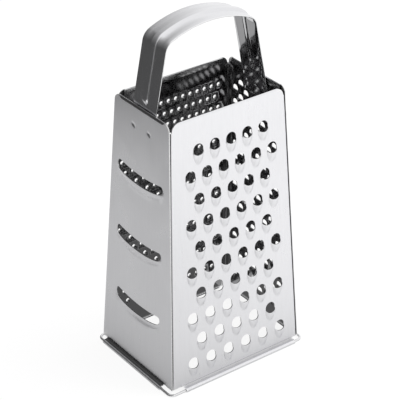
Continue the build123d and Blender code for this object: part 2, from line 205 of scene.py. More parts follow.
class SheetMesh:
    """Collects grids of points and writes them into one smooth-shaded mesh."""

    def __init__(self) -> None:
        """Starts with no points."""
        self.points: list[Array] = []
        self.faces: list[Array] = []
        self.wear_and_card_glow: list[Array] = []
        self.painted_shade: list[Array] = []
        self.count = 0

    def add(self, grid: Array, wear_and_card_glow: Array | float = 0.0, painted_shade: Array | float = 0.0,
            wrap: bool = False, flip: bool = False) -> None:
        """Adds one grid, or a stack of equal grids.

        A face's normal is (step along a row) x (step from row to row).

        Args:
            grid: points of shape (..., rows, columns, 3).
            wear_and_card_glow: how worn and bright each point is, from 0 to 1; on a card, its
                painted glow.
            painted_shade: painted shade of each point, from 1 on the faces that look into the body
                to 0 outside, in between on folds and flares.
            wrap: joins the last column to the first one.
            flip: turns the faces round.
        """
        rows, columns = grid.shape[-3:-1]
        stack = grid.reshape(-1, rows, columns, 3)
        index = np.arange(len(stack) * rows * columns).reshape(len(stack), rows, columns)
        index = index + self.count
        if wrap:
            index = np.concatenate([index, index[:, :, :1]], axis=2)
        quads = np.stack([index[:, :-1, :-1], index[:, :-1, 1:], index[:, 1:, 1:],
                          index[:, 1:, :-1]], axis=-1).reshape(-1, 4)
        self.faces.append(quads[:, ::-1] if flip else quads)
        self.points.append(stack.reshape(-1, 3))
        shape = grid.shape[:-1]
        self.wear_and_card_glow.append(np.broadcast_to(wear_and_card_glow, shape).ravel())
        self.painted_shade.append(np.broadcast_to(painted_shade, shape).ravel())
        self.count += stack.shape[0] * rows * columns

    def build(self, name: str, weld: float = 2e-6, crease: float = 32.0) -> Piece:
        """Makes the object: welds the seams between grids and marks the sharp edges.

        Args:
            name: name of the piece.
            weld: distance under which points become one.
            crease: angle in degrees above which an edge stays sharp.

        Returns:
            The new object, linked to the scene.
        """
        points = np.concatenate(self.points)
        faces = np.concatenate(self.faces)
        mesh = bpy.data.meshes.new(name)
        mesh.vertices.add(len(points))
        mesh.vertices.foreach_set("co", points.astype(np.float32).ravel())
        mesh.loops.add(faces.size)
        mesh.loops.foreach_set("vertex_index", faces.astype(np.int32).ravel())
        mesh.polygons.add(len(faces))
        mesh.polygons.foreach_set("loop_start", np.arange(0, faces.size, 4, dtype=np.int32))
        for label, values in (("wear_and_card_glow", self.wear_and_card_glow), ("painted_shade", self.painted_shade)):
            layer = mesh.attributes.new(label, "FLOAT", "POINT")
            layer.data.foreach_set("value", np.concatenate(values).astype(np.float32))
        mesh.update(calc_edges=True)
        work = bmesh.new()
        work.from_mesh(mesh)
        bmesh.ops.remove_doubles(work, verts=work.verts, dist=weld)
        work.to_mesh(mesh)
        work.free()
        mesh.polygons.foreach_set("use_smooth", np.ones(len(mesh.polygons), dtype=bool))
        mesh.set_sharp_from_angle(angle=math.radians(crease))
        piece = bpy.data.objects.new(name, mesh)
        bpy.context.scene.collection.objects.link(piece)
        return piece

    def finish(self, name: str, node: str, slot: str, material: Material) -> Piece:
        """Builds the piece, dresses it and lets it stand for its node.

        Args:
            name: name of the piece.
            node: node that the piece stands for.
            slot: material slot of that node; not used.
            material: the piece's material.

        Returns:
            The new object.
        """
        piece = self.build(name)
        piece.data.materials.append(material)
        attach(piece, BODY)
        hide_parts(node)
        LOG.info("%s: %d faces", name, len(piece.data.polygons))
        return piece


def loop_of(segments: list[Array]) -> Array:
    """Closed loop of points from open segments, each without its last point."""
    return np.concatenate([segment[..., :-1, :] for segment in segments], axis=-2)


def cell_loops(corners: Array, counts: tuple[int, int, int, int]) -> Array:
    """Boundary loops of four-cornered cells, straight lines with counts[i] steps on side i.

    Args:
        corners: array (cells, 4, 2), counter-clockwise from the bottom left.
        counts: steps along the bottom, right, top and left sides.

    Returns:
        An array (cells, sum of counts, 2).
    """
    sides = []
    for side, count in enumerate(counts):
        share = np.linspace(0.0, 1.0, count + 1)[None, :, None]
        first = corners[:, None, side]
        last = corners[:, None, (side + 1) % 4]
        sides.append(first + (last - first) * share)
    return loop_of(sides)


@dataclass(frozen=True)
class Scoop:
    """Punched coarse or medium tooth: a round hole whose lower lip is pressed into a dome.

    With a from -90 to 90 degrees along the lip, u = half sin(a), v = -side - (below - side)
    cos(a), and the lip's height is rise cos(a). The dome's foot is a longer ellipse with the
    same ends, a little wider, and the height between them is a share 1 - (1 - t) ^ fullness.
    """

    half: float
    rise: float
    length: float
    above: float
    below: float
    side: float
    counts: tuple[int, int, int, int]
    rings: int
    margin_rings: int = 2
    spread: float = 1.1
    fullness: float = 1.6
    lip_wear: float = 0.35

    def _lip_turn(self) -> Array:
        """Angles along the lip, from its left end to its right one."""
        return np.linspace(-math.pi / 2, math.pi / 2, self.counts[0] + 1)

    def _outline(self, spread: float, reach: float) -> Array:
        """Lower half ellipse down to -reach, then side, arc and side, all spread sideways."""
        half = self.half * spread
        lip = self._lip_turn()
        low = np.stack([half * np.sin(lip), -self.side - (reach - self.side) * np.cos(lip)], -1)
        centre = self.above - self.half
        start = -(self.side + centre) / half
        stops = (start, math.pi / 4, 3 * math.pi / 4, math.pi - start)
        turns = [np.linspace(first, last, count + 1)
                 for first, last, count in zip(stops, stops[1:], self.counts[1:])]
        return loop_of([low, *[self._side_or_arc(turn, half, centre) for turn in turns]])

    @staticmethod
    def _side_or_arc(turn: Array, half: float, centre: float) -> Array:
        """Point at an unrolled angle; outside 0 to pi it runs straight down the side."""
        straight = np.minimum(np.minimum(turn, math.pi - turn), 0.0)
        inner = np.clip(turn, 0.0, math.pi)
        return np.stack([half * np.cos(inner), centre + half * (np.sin(inner) + straight)],
                        axis=-1)

    def hole(self) -> Array:
        """Outline of the hole."""
        return self._outline(1.0, self.below)

    def foot(self) -> Array:
        """Outline round the hole and its dome, outside which the sheet is flat."""
        return self._outline(self.spread, self.below + self.length)

    def lift(self) -> Array:
        """Height of the sheet along the hole's outline."""
        lip = self.rise * np.cos(self._lip_turn()[:-1])
        return np.concatenate([lip, np.zeros(sum(self.counts[1:]))])


@dataclass(frozen=True)
class Slot:
    """Slicing blade: a smile-shaped slot whose lower lip is pressed outwards.

    The middle line of the slot is an arc with the given sag over two half spans. The lip's
    height is rise * (1 - (u / half) ^ plateau) ^ shoulder, so it is nearly level and drops at
    the ends. Edges nearer to the middle line than a share least of the half opening stay flat.
    """

    half: float = 23.0 * MM
    sag: float = 2.5 * MM
    opening: float = 5.4 * MM
    rise: float = 2.2 * MM
    length: float = 6.4 * MM
    counts: tuple[int, int, int, int] = (36, 10, 36, 10)
    rings: int = 10
    margin_rings: int = 5
    margin: float = 1.2 * MM
    fullness: float = 1.7
    plateau: int = 4
    shoulder: float = 0.6
    least: float = 1e-6
    lip_wear: float = 0.1

    def middle(self, u: Array) -> Array:
        """Height of the slot's middle line: an arc through both ends, lowest at u = 0."""
        radius = (self.half ** 2 + self.sag ** 2) / (2 * self.sag)
        return (radius - self.sag) - np.sqrt(radius ** 2 - np.clip(u, -self.half, self.half) ** 2)

    def _outline(self, margin: float, length: float) -> Array:
        """Lower edge, round right end, upper edge, round left end, all moved outwards.

        Args:
            margin: distance from the slot's edge above and at the ends.
            length: greatest distance below the slot's edge.
        """
        bottom, right, top, left = self.counts
        end = self.half - self.opening / 2
        along = np.linspace(-end, end, bottom + 1)
        below = margin + (length - margin) * np.sqrt(1 - (along / self.half) ** 2)
        lower = np.stack([along, self.middle(along) - self.opening / 2 - below], axis=-1)
        along = np.linspace(end, -end, top + 1)
        upper = np.stack([along, self.middle(along) + self.opening / 2 + margin], axis=-1)
        extra = below[0] - margin
        caps = []
        for start, count, side in ((-math.pi / 2, right, 1), (math.pi / 2, left, -1)):
            turn = np.linspace(start, start + math.pi, count + 1)
            radius = self.opening / 2 + margin + extra * np.maximum(-np.sin(turn), 0.0) ** 2
            u = side * end + radius * np.cos(turn)
            caps.append(np.stack([u, self.middle(u) + radius * np.sin(turn)], axis=-1))
        return loop_of([lower, caps[0], upper, caps[1]])

    def hole(self) -> Array:
        """Outline of the slot."""
        return self._outline(0.0, 0.0)

    def foot(self) -> Array:
        """Outline round the slot and its pressed lip, outside which the sheet is flat."""
        return self._outline(self.margin, self.length)

    def lift(self) -> Array:
        """Height of the sheet along the slot's outline: the lip below the middle line only."""
        u, v = self.hole().T
        level = np.clip(1 - (u / self.half) ** self.plateau, 0.0, None) ** self.shoulder
        low = np.clip((self.middle(u) - v) / (self.opening / 2), 0.0, 1.0)
        return self.rise * level * np.sqrt(low) * (low > self.least)


@dataclass(frozen=True)
class Burr:
    """Fine tooth: a hole driven outwards that leaves a raised crown of points.

    Attributes:
        crown: swing of the crown's height, as a share of its rise.
        rim_gain: height of the hole's edge, as a share of the crown's height.
        flank_wear, throat_wear: wear of the crown's outer foot and of the hole's inner end.
    """

    hole_radius: float = 1.25 * MM
    tip_radius: float = 1.6 * MM
    foot_radius: float = 2.35 * MM
    rise: float = 0.9 * MM
    crown: float = 0.3
    points: int = 6
    rim_gain: float = 1.05
    flank_wear: float = 0.7
    throat_wear: float = 0.2
    counts: tuple[int, int, int, int] = (3, 3, 3, 3)


@dataclass(frozen=True)
class TopEdge:
    """Folded hem and rounded corners along a wall's top.

    Attributes:
        inset: distance of the hem's end from the wall's side edge.
        corner: radius of the rounded corner.
        hem: depth of the folded strip.
        roll: height over which the outer face rolls in to the fold.
        fade: length over which the roll dies out at the hem's ends.
    """

    inset: float
    corner: float
    hem: float = 4.0 * MM
    roll: float = 1.9 * MM
    fade: float = 3.0 * MM


@dataclass(frozen=True)
class WallSteps:
    """Numbers of rows and columns of points in the parts of a wall.

    Attributes:
        flare_shares: places of the rows between the toothed field and the flare, 0 at the flare.
    """

    hem_columns: int = 97
    face_rows: int = 30
    roll_rows: int = 9
    fold_rows: int = 7
    corner_rows: int = 9
    corner_columns: int = 17
    curl_columns: int = 65
    flare_shares: tuple[float, ...] = (1.0, 0.6, 0.25, 0.08)
    flare_rows: int = 11
    curl_rows: int = 40
    foot_rows: int = 4
    foot_columns: int = 7
    side_rows: int = 25
    bend_columns: int = 10


@dataclass
class Wall:
    """One sheet wall: toothed field, top hem, base curl and, on a wide wall, its laps.

    Attributes:
        name: name of the piece.
        node: node that the piece stands for.
        frame: outer face of the wall.
        body: main sizes of the body.
        top: sizes of the top edge.
        gaps: bare lengths of wire at the two ends of the curl, at -u and +u.
        lap: length of the side laps, or 0 for a wall without laps.
        bend: outer radius of the fold between face and lap.
        curl_turn: angles in degrees where the curled sheet starts and ends, 0 being outermost.
        rim_shade: how much painted shade the pressed flare gets, 0 to 1; the same value also makes
            it smoother.
        roll_shade: the same for the roll along the top edge.
        seam_shade: the same for the side edges at -u and +u.
        dents: places (u, v) of the spot welds.
        lap_start: depth below the face, as a root share of the lap, where its top turns down.
        edge_depths: places of the points across a cut edge, as shares of the sheet.
    """

    name: str
    node: str
    frame: WallFrame
    body: BodySizes
    top: TopEdge
    gaps: tuple[float, float]
    lap: float = 0.0
    lap_drop: float = 7.0 * MM
    bend: float = 1.4 * MM
    curl_turn: tuple[float, float] = (90.0, -168.0)
    rim_shade: float = 0.5
    roll_shade: float = 0.0
    seam_shade: tuple[float, float] = (0.0, 0.0)
    seam_start: float = math.radians(12.0)
    seam_fade: float = math.radians(15.0)
    dents: tuple[tuple[float, float], ...] = ()
    dent_depth: float = 0.42 * MM
    dent_half: tuple[float, float] = (1.6 * MM, 0.7 * MM)
    dent_tilt: float = math.radians(-27.0)
    lap_start: float = 0.35
    edge_depths: tuple[float, float, float] = (0.0, 0.9, 1.0)
    steps: WallSteps = WallSteps()
    mesh: SheetMesh = field(default_factory=SheetMesh)

    @property
    def flat_trim(self) -> float:
        """How far the flat of the face ends before the span's edge."""
        return self.bend if self.lap else 0.0

    def edge(self, v: Array | float) -> Array | float:
        """Half span of the flat face at a height v."""
        return self.frame.half(v) - self.flat_trim

    def dimple(self, u: Array, v: Array) -> Array:
        """Relief of the weld dents: a tilted bell of elliptic section at each place."""
        total = np.zeros(np.broadcast(u, v).shape)
        cos, sin = math.cos(self.dent_tilt), math.sin(self.dent_tilt)
        for dent_u, dent_v in self.dents:
            along = ((u - dent_u) * cos + (v - dent_v) * sin) / self.dent_half[0]
            over = ((v - dent_v) * cos - (u - dent_u) * sin) / self.dent_half[1]
            total = total - self.dent_depth * np.exp(-(along ** 4 + over ** 2))
        return total

    def add_flat(self, corners: Array) -> None:
        """Adds plain four-cornered pieces of sheet, outside and inside.

        Args:
            corners: array (pieces, 4, 2), counter-clockwise from the bottom left.
        """
        grid = np.stack([corners[:, [0, 1]], corners[:, [3, 2]]], axis=1)
        # The inner face gets full painted shade.
        for depth, painted_shade, flip in ((0.0, 0.0, False), (self.body.sheet, 1.0, True)):
            placed = self.frame.place(grid[..., 0], grid[..., 1], -depth)
            self.mesh.add(placed, painted_shade=painted_shade, flip=flip)

    def _add_margins(self, low: Array | float, high: Array | float,
                     low_u: tuple[Array, Array], high_u: tuple[Array, Array]) -> None:
        """Adds the plain sheet between the toothed field and the side edges.

        Args:
            low: heights of the lower ends of the field's parts.
            high: heights of their upper ends.
            low_u: left and right ends of the field at the lower ends.
            high_u: the same at the upper ends.
        """
        low_edge, high_edge = self.edge(low), self.edge(high)
        self.add_flat(np.concatenate([
            strip_corners(low, high, (-low_edge, low_u[0]), (-high_edge, high_u[0])),
            strip_corners(low, high, (low_u[1], low_edge), (high_u[1], high_edge)),
        ]))

    def add_punched(self, centres: Array, cells: Array, tooth: Scoop | Slot) -> None:
        """Adds cells of sheet round punched holes.

        Rings run from the cell's boundary over the foot of the relief to the hole's edge
        outside, over the cut edge, and back inside, so that each cell is one closed grid.

        Args:
            centres: array (cells, 2) of the teeth's centres.
            cells: array (cells, 4, 2) of the cells' corners.
            tooth: the form of the hole and of the relief around it.
        """
        border = cell_loops(cells, tooth.counts) - centres[:, None]
        flat = np.linspace(0.0, 1.0, tooth.margin_rings, endpoint=False)[None, :, None, None]
        climb = np.linspace(0.0, 1.0, tooth.rings)[None, :, None, None]
        dome = np.broadcast_to(tooth.foot() * (1 - climb) + tooth.hole() * climb,
                               (len(border), tooth.rings, *border.shape[1:]))
        rings = np.concatenate([border[:, None] * (1 - flat) + tooth.foot() * flat, dome], axis=1)
        height = tooth.lift() * (1 - (1 - climb[..., 0]) ** tooth.fullness)
        height = np.concatenate([np.zeros_like(flat[..., 0]) * tooth.lift(), height], axis=1)
        lip = np.zeros(rings.shape[:-1])
        lip[:, -1] = tooth.lip_wear
        # The rings back inside get full painted shade.
        self._add_rings(centres, np.concatenate([rings, rings[:, ::-1]], axis=1),
                        np.concatenate([height, height[:, ::-1] - self.body.sheet], axis=1),
                        np.concatenate([lip, lip[:, ::-1]], axis=1),
                        np.concatenate([np.zeros_like(lip), np.ones_like(lip)], axis=1))

    def _add_rings(self, centres: Array, rings: Array, height: Array, wear_and_card_glow: Array,
                   painted_shade: Array) -> None:
        """Adds cells made of closed rings, of shape (cells, rings, points of a ring).

        Args:
            centres: array (cells, 2) of the cells' centres.
            rings: places (u, v) of the points, from the centre.
            height: heights of the points.
            wear_and_card_glow: wear of the points.
            painted_shade: painted shade of the points, 1 where they look into the body.
        """
        placed = self.frame.place(rings[..., 0] + centres[:, 0, None, None],
                                  rings[..., 1] + centres[:, 1, None, None], height)
        self.mesh.add(placed, wear_and_card_glow=wear_and_card_glow, painted_shade=painted_shade, wrap=True)

    def add_burrs(self, centres: Array, cells: Array, tooth: Burr) -> None:
        """Adds cells of sheet round the fine wall's raised holes.

        Each ring is a circle round the centre; the crown's height swings with the angle.

        Args:
            centres: array (cells, 2) of the teeth's centres.
            cells: array (cells, 4, 2) of the cells' corners.
            tooth: radii and heights of the crown.
        """
        border = cell_loops(cells, tooth.counts) - centres[:, None]
        turn = np.arctan2(border[0, :, 1], border[0, :, 0])
        circle = np.stack([np.cos(turn), np.sin(turn)], axis=-1)
        crown = tooth.rise * (1 + tooth.crown * np.cos(tooth.points * turn))
        sheet = self.body.sheet
        # The last value of each ring is its painted shade, full on the faces that look into the
        # body.
        ring_table = (
            (tooth.foot_radius, 0.0 * crown, 0.0, 0.0),
            (tooth.tip_radius, crown, tooth.flank_wear, 0.0),
            (tooth.hole_radius, tooth.rim_gain * crown, 1.0, 0.0),
            (tooth.hole_radius, 0.0 * crown, tooth.throat_wear, 1.0),
            (tooth.tip_radius, 0.0 * crown - sheet / 2, 0.0, 1.0),
            (tooth.foot_radius, 0.0 * crown - sheet, 0.0, 1.0),
        )
        rows = [(border, 0.0 * crown, 0.0, 0.0)]
        rows += [(radius * circle[None], height, wear_and_card_glow, painted_shade)
                 for radius, height, wear_and_card_glow, painted_shade in ring_table]
        rows += [(border, 0.0 * crown - sheet, 0.0, 1.0)]
        ring = np.stack([np.broadcast_to(row[0], border.shape) for row in rows], axis=1)
        height = np.stack([row[1] for row in rows])[None]
        wear_and_card_glow = np.array([row[2] for row in rows])[None, :, None]
        painted_shade = np.array([row[3] for row in rows])[None, :, None]
        self._add_rings(centres, ring, height, wear_and_card_glow, painted_shade)

    def add_ribbon(self, u: Array, profile_v: Array, profile_w: Array, wear_and_card_glow: Array | float = 0.0,
                   painted_shade: Array | float = 0.0, flip: bool = False) -> None:
        """Carries rows of (v, w) points across the wall at the columns u."""
        self.mesh.add(self.frame.place(u, profile_v, profile_w), wear_and_card_glow=wear_and_card_glow, painted_shade=painted_shade,
                      flip=flip)

    def add_top(self, low: float) -> None:
        """Adds the sheet from a height up to the top edge: hem in the middle, round corners.

        Args:
            low: slope coordinate where the toothed field ends.
        """
        sheet, top, steps, high = self.body.sheet, self.top, self.steps, self.frame.length
        hem_half = self.frame.half(high) - top.inset
        u = np.linspace(-hem_half, hem_half, steps.hem_columns)[None]
        fade = np.clip((hem_half - np.abs(u)) / top.fade, 0.0, 1.0)
        roll = top.roll * fade * fade * (3 - 2 * fade)
        rise = np.linspace(0.0, 1.0, steps.face_rows)[:, None]
        turn = np.linspace(0.0, math.pi / 2, steps.roll_rows)[1:, None]
        face_v = low + (high - roll - low) * rise
        back_v = low + (high - top.hem - low) * rise[::-1] + 0 * u
        # The last value of each part is its painted shade: roll_shade on the roll, FOLD_SHADE on the
        # fold, full inside.
        parts = (
            (face_v, self.dimple(u, face_v), 0.0, 0.0),
            (high - roll * (1 - np.sin(turn)), -sheet * (1 - np.cos(turn)), 0.0,
             self.roll_shade),
            (high - sheet * (1 - np.cos(turn)), -sheet * (1 + np.sin(turn)), FOLD_WEAR,
             FOLD_SHADE),
            (high - top.hem, -2 * sheet, HEM_WEAR, 1.0),
            (high - top.hem, -sheet, 0.0, 1.0),
            (back_v, self.dimple(u, back_v) - sheet, 0.0, 1.0),
        )
        stacks = [[], [], [], []]
        for part in parts:
            shape = (len(np.atleast_2d(part[0])), u.shape[1])
            for stack, value in zip(stacks, part):
                stack.append(np.broadcast_to(value, shape))
        rows_v, rows_w, wear_and_card_glow, painted_shade = (np.concatenate(stack) for stack in stacks)
        self.add_ribbon(u, rows_v, rows_w, wear_and_card_glow=wear_and_card_glow, painted_shade=painted_shade)
        self._add_hem_ends(hem_half, sheet, high)
        self._add_top_corners(low, hem_half)

    def _add_hem_ends(self, hem_half: float, sheet: float, high: float) -> None:
        """Closes the two ends of the folded strip."""
        turn = np.linspace(0.0, math.pi / 2, self.steps.fold_rows)
        v = np.concatenate([high - sheet * (1 - np.cos(turn)), [high - self.top.hem]])
        deep = np.concatenate([-sheet * (1 + np.sin(turn)), [-2 * sheet]])
        w = np.stack([np.full_like(v, -sheet), deep])
        # The hem's ends get full painted shade.
        for side in (-1, 1):
            self.mesh.add(self.frame.place(side * hem_half, v[None], w), wear_and_card_glow=HEM_WEAR,
                          painted_shade=1.0, flip=side < 0)

    def _add_top_corners(self, low: float, hem_half: float) -> None:
        """Adds the plain single sheet beside the hem, up to the rounded corner."""
        radius, high, steps = self.top.corner, self.frame.length, self.steps
        share = np.sin(np.linspace(0.0, math.pi / 2, steps.corner_columns))[None]
        rise = np.linspace(0.0, 1.0, steps.corner_rows)[:, None]
        reach = np.clip(radius - (1 - share) * (self.edge(high) - hem_half), 0.0, radius)
        end = high - radius + np.sqrt(radius ** 2 - reach ** 2)
        v = low + (end - low) * rise
        self._add_plain(v, share, 1, hem_half, flip=False)
        self._add_plain(v, share, -1, -hem_half, flip=True)

    def _add_plain(self, v: Array, share: Array, side: int, start: float, flip: bool) -> None:
        """Adds plain sheet between a column and a side edge, outside, over the end and inside.

        Args:
            v: heights of the rows on the outside, the last one at the cut edge.
            share: place of each column, from 0 at the start to 1 at the side edge.
            side: 1 for the edge at +u, -1 for the one at -u.
            start: coordinate u of the first column.
            flip: turns the faces round.
        """
        rows = np.concatenate([v, v[::-1]])
        # The inner face also gets full painted shade.
        back = np.repeat([0.0, 1.0], len(v))[:, None]
        worn = np.zeros(back.shape)
        worn[len(v) - 1:len(v) + 1] = CUT_WEAR
        u = start + share * (side * self.edge(rows) - start)
        self.add_ribbon(u, rows, -self.body.sheet * back, wear_and_card_glow=worn, painted_shade=back, flip=flip)

    def add_bottom(self, high: float) -> None:
        """Adds the sheet from a height down to the base: flare and curl, and plain corners.

        Args:
            high: slope coordinate where the toothed field starts.
        """
        body, sheet, steps = self.body, self.body.sheet, self.steps
        foot = self.frame.half(0.0) + (sheet if self.lap else 0.0)
        ends = (-foot + self.gaps[0], foot - self.gaps[1])
        u = np.linspace(*ends, steps.curl_columns)[None]
        low = self.frame.climb(body.flare_level)
        wall_v = (low + (high - low) * np.array(steps.flare_shares))[:, None]
        outer = np.concatenate([self.frame.place(u, wall_v, 0.0), self._rim(u, 0.0)])
        inner = np.concatenate([self.frame.place(u, wall_v, -sheet), self._rim(u, sheet)])
        worn = np.zeros(len(outer))
        worn[-1] = CURL_WEAR
        # Painted shade: the flare gets rim_shade, the inner face full.
        shade = np.zeros(len(outer))
        shade[len(wall_v):len(wall_v) + steps.flare_rows] = self.rim_shade
        painted_shade = np.concatenate([shade, np.ones(len(inner))])
        self.mesh.add(np.concatenate([outer, inner[::-1]]),
                      wear_and_card_glow=np.concatenate([worn, worn[::-1]])[:, None],
                      painted_shade=painted_shade[:, None], flip=True)
        for side, end in zip((-1, 1), ends):
            cap = np.stack([self._rim(np.array([end]), inset)[:, 0] for inset in (0.0, sheet)])
            self.mesh.add(cap, wear_and_card_glow=CAP_WEAR, flip=side < 0)
        self._add_bottom_corners(high, ends)

    def _rim(self, u: Array, inset: float) -> Array:
        """Section of the flare and curl at each u, inset into the sheet from its outer face.

        A quarter ellipse leads from the face to the top of the curl, which goes on as an arc
        round the wire. No point lies below the table.

        Args:
            u: coordinates across the wall.
            inset: depth below the outer face.

        Returns:
            An array (points of the section, points across, 3).
        """
        body = self.body
        start = -(body.flare_level - body.rim_level) * math.tan(self.frame.lean)
        drop = body.flare_level - body.rim_level - body.curl_radius
        turn = np.linspace(0.0, math.pi / 2, self.steps.flare_rows)
        bend = np.radians(np.linspace(*self.curl_turn, self.steps.curl_rows))[1:]
        radius = body.curl_radius - inset
        reach = np.concatenate([
            body.flare_reach - (body.flare_reach - start + inset) * np.cos(turn),
            body.flare_reach + radius * np.cos(bend)])
        level = np.concatenate([body.flare_level - (drop + inset) * np.sin(turn),
                                body.rim_level + radius * np.sin(bend)])
        outward = np.array([*self.frame.outward, 0.0])
        points = ((self.frame.reach + reach)[:, None, None] * outward
                  + u.reshape(1, -1, 1) * self.frame.across)
        points[..., 2] += np.maximum(level, 0.0)[:, None]
        return points

    def _add_bottom_corners(self, high: float, ends: tuple[float, float]) -> None:
        """Adds the sheet beside the curl, down to its cut edge above the bare wire."""
        foot = self.frame.climb(self.body.foot_level)
        v = high + (foot - high) * np.linspace(0.0, 1.0, self.steps.foot_rows)[:, None]
        share = np.linspace(0.0, 1.0, self.steps.foot_columns)[None]
        self._add_plain(v, share, -1, ends[0], flip=False)
        self._add_plain(v, share, 1, ends[1], flip=True)

    def add_sides(self) -> None:
        """Closes the wall's side edges: a cut edge, or a fold with its lap inside."""
        sheet = self.body.sheet
        low = self.frame.climb(self.body.foot_level)
        high = self.frame.length - self.top.corner
        rise = np.linspace(0.0, 1.0, self.steps.side_rows)[:, None]
        if not self.lap:
            v = low + (high - low) * rise
            deep = np.array(self.edge_depths)
            # Painted shade along each cut edge follows seam_shade.
            for side, shade in zip((-1, 1), self.seam_shade):
                placed = self.frame.place(side * self.frame.half(v), v, -sheet * deep)
                self.mesh.add(placed, wear_and_card_glow=CUT_WEAR, painted_shade=deep * (shade, shade, 1.0),
                              flip=side < 0)
            return
        turn = np.linspace(0.0, math.pi / 2, self.steps.bend_columns)
        inner_bend = self.bend - sheet
        outer = np.stack([-self.bend * (1 - np.sin(turn)), -self.bend * (1 - np.cos(turn))])
        inner = np.stack([-self.bend + inner_bend * np.sin(turn),
                          -self.bend + inner_bend * np.cos(turn)])
        profile = np.concatenate([outer, [[0.0, -sheet], [-self.lap, -self.lap]],
                                  inner[:, ::-1]], axis=1)
        past = np.sqrt(np.clip(-profile[1] / self.lap, 0.0, 1.0))
        past = (past > self.lap_start) * past
        ceiling = high - (self.lap_drop - self.top.corner) * past
        v = low + (ceiling[None] - low) * rise
        worn = np.zeros(profile.shape[1])
        worn[len(turn):len(turn) + 2] = CUT_WEAR
        # Painted shade in each fold's crease follows seam_shade; the lap gets full painted shade.
        seam = np.clip((turn - self.seam_start) / self.seam_fade, 0.0, 1.0)
        for side, shade in zip((-1, 1), self.seam_shade):
            painted_shade = np.concatenate([shade * seam, np.ones(len(turn) + 2)])
            placed = self.frame.place(side * (self.frame.half(v) + profile[0]), v, profile[1])
            self.mesh.add(placed, wear_and_card_glow=worn, painted_shade=painted_shade, flip=side < 0)
        for end, upwards in ((low + 0 * ceiling, -1), (ceiling, 1)):
            self._add_lap_ends(profile, end, upwards)

    def _add_lap_ends(self, profile: Array, end: Array, upwards: int) -> None:
        """Closes one end of both folds and laps with the section of their sheet.

        Args:
            profile: section (u, w) of fold and lap, over its outer side and back inside.
            end: height of each of its points at this end.
            upwards: 1 at the upper end, -1 at the lower one.
        """
        half = profile.shape[1] // 2
        # The lap ends get full painted shade.
        for side in (-1, 1):
            ring = self.frame.place(side * (self.frame.half(end) + profile[0]), end, profile[1])
            self.mesh.add(np.stack([ring[:half], ring[:half - 1:-1]]), wear_and_card_glow=HEM_WEAR,
                          painted_shade=1.0, flip=side * upwards < 0)

    def finish(self, material: Material, slot: str) -> Piece:
        """Builds the piece, dresses it and lets it stand for its node."""
        return self.mesh.finish(self.name, self.node, slot, material)


def strip_corners(low: Array | float, high: Array | float, low_u: tuple[Array, Array],
                  high_u: tuple[Array, Array]) -> Array:
    """Corners of upright strips, counter-clockwise from the bottom left.

    Args:
        low: heights of the lower ends.
        high: heights of the upper ends.
        low_u: left and right places at the lower ends.
        high_u: left and right places at the upper ends.

    Returns:
        An array (strips, 4, 2).
    """
    corners = ((low_u[0], low), (low_u[1], low), (high_u[1], high), (high_u[0], high))
    return np.stack([np.stack(np.broadcast_arrays(*corner), axis=-1) for corner in corners],
                    axis=-2).reshape(-1, 4, 2)


@dataclass(frozen=True)
class RowPattern:
    """Rows of teeth, alternately few and few + 1 of them, fanned out with the taper.

    Attributes:
        rows: number of rows.
        few: teeth in the first row.
        pitch_share: spacing across as a share of the body's outside span at the row.
        first_share: height of the first row as a share of the height above the foot.
        row_share: spacing of the rows as a share of the height above the foot.
        below_share: part of a row's strip that lies below the teeth's centres.
        shift: how far the pattern is moved across the wall.
        start: 1 if the first row is a longer one.
    """

    rows: int
    few: int
    pitch_share: float
    first_share: float
    row_share: float
    below_share: float = 0.5
    shift: float = 0.0
    start: int = 0


@dataclass
class RowWall(Wall):
    """A wall whose teeth stand in separate strips, one for each row."""

    pattern: RowPattern | None = None
    tooth: Scoop | Burr | None = None

    def fill(self) -> None:
        """Adds all the strips, then the rims around them."""
        pattern, frame, body = self.pattern, self.frame, self.body
        rise = body.height - body.foot_level
        step = frame.climb(body.rim_level + pattern.row_share * rise)
        low = high = 0.0
        for row in range(pattern.rows):
            level = body.foot_level + (pattern.first_share - row * pattern.row_share) * rise
            centre_v = frame.climb(level)
            span = 2 * (frame.half(centre_v) + (body.sheet if self.lap else 0.0))
            pitch = pattern.pitch_share * span
            count = pattern.few + (row + pattern.start) % 2
            low = centre_v - pattern.below_share * step
            high = low + step
            centre_u = (np.arange(count) - (count - 1) / 2) * pitch + pattern.shift
            centres = np.stack([centre_u, np.full(count, centre_v)], axis=-1)
            ends = (centre_u - pitch / 2, centre_u + pitch / 2)
            cells = strip_corners(low, high, ends, ends)
            if isinstance(self.tooth, Burr):
                self.add_burrs(centres, cells, self.tooth)
            else:
                self.add_punched(centres, cells, self.tooth)
            field_ends = (ends[0][0], ends[1][-1])
            self._add_margins(low, high, field_ends, field_ends)
            if row == 0:
                self.add_top(high)
        self.add_bottom(low)
        self.add_sides()


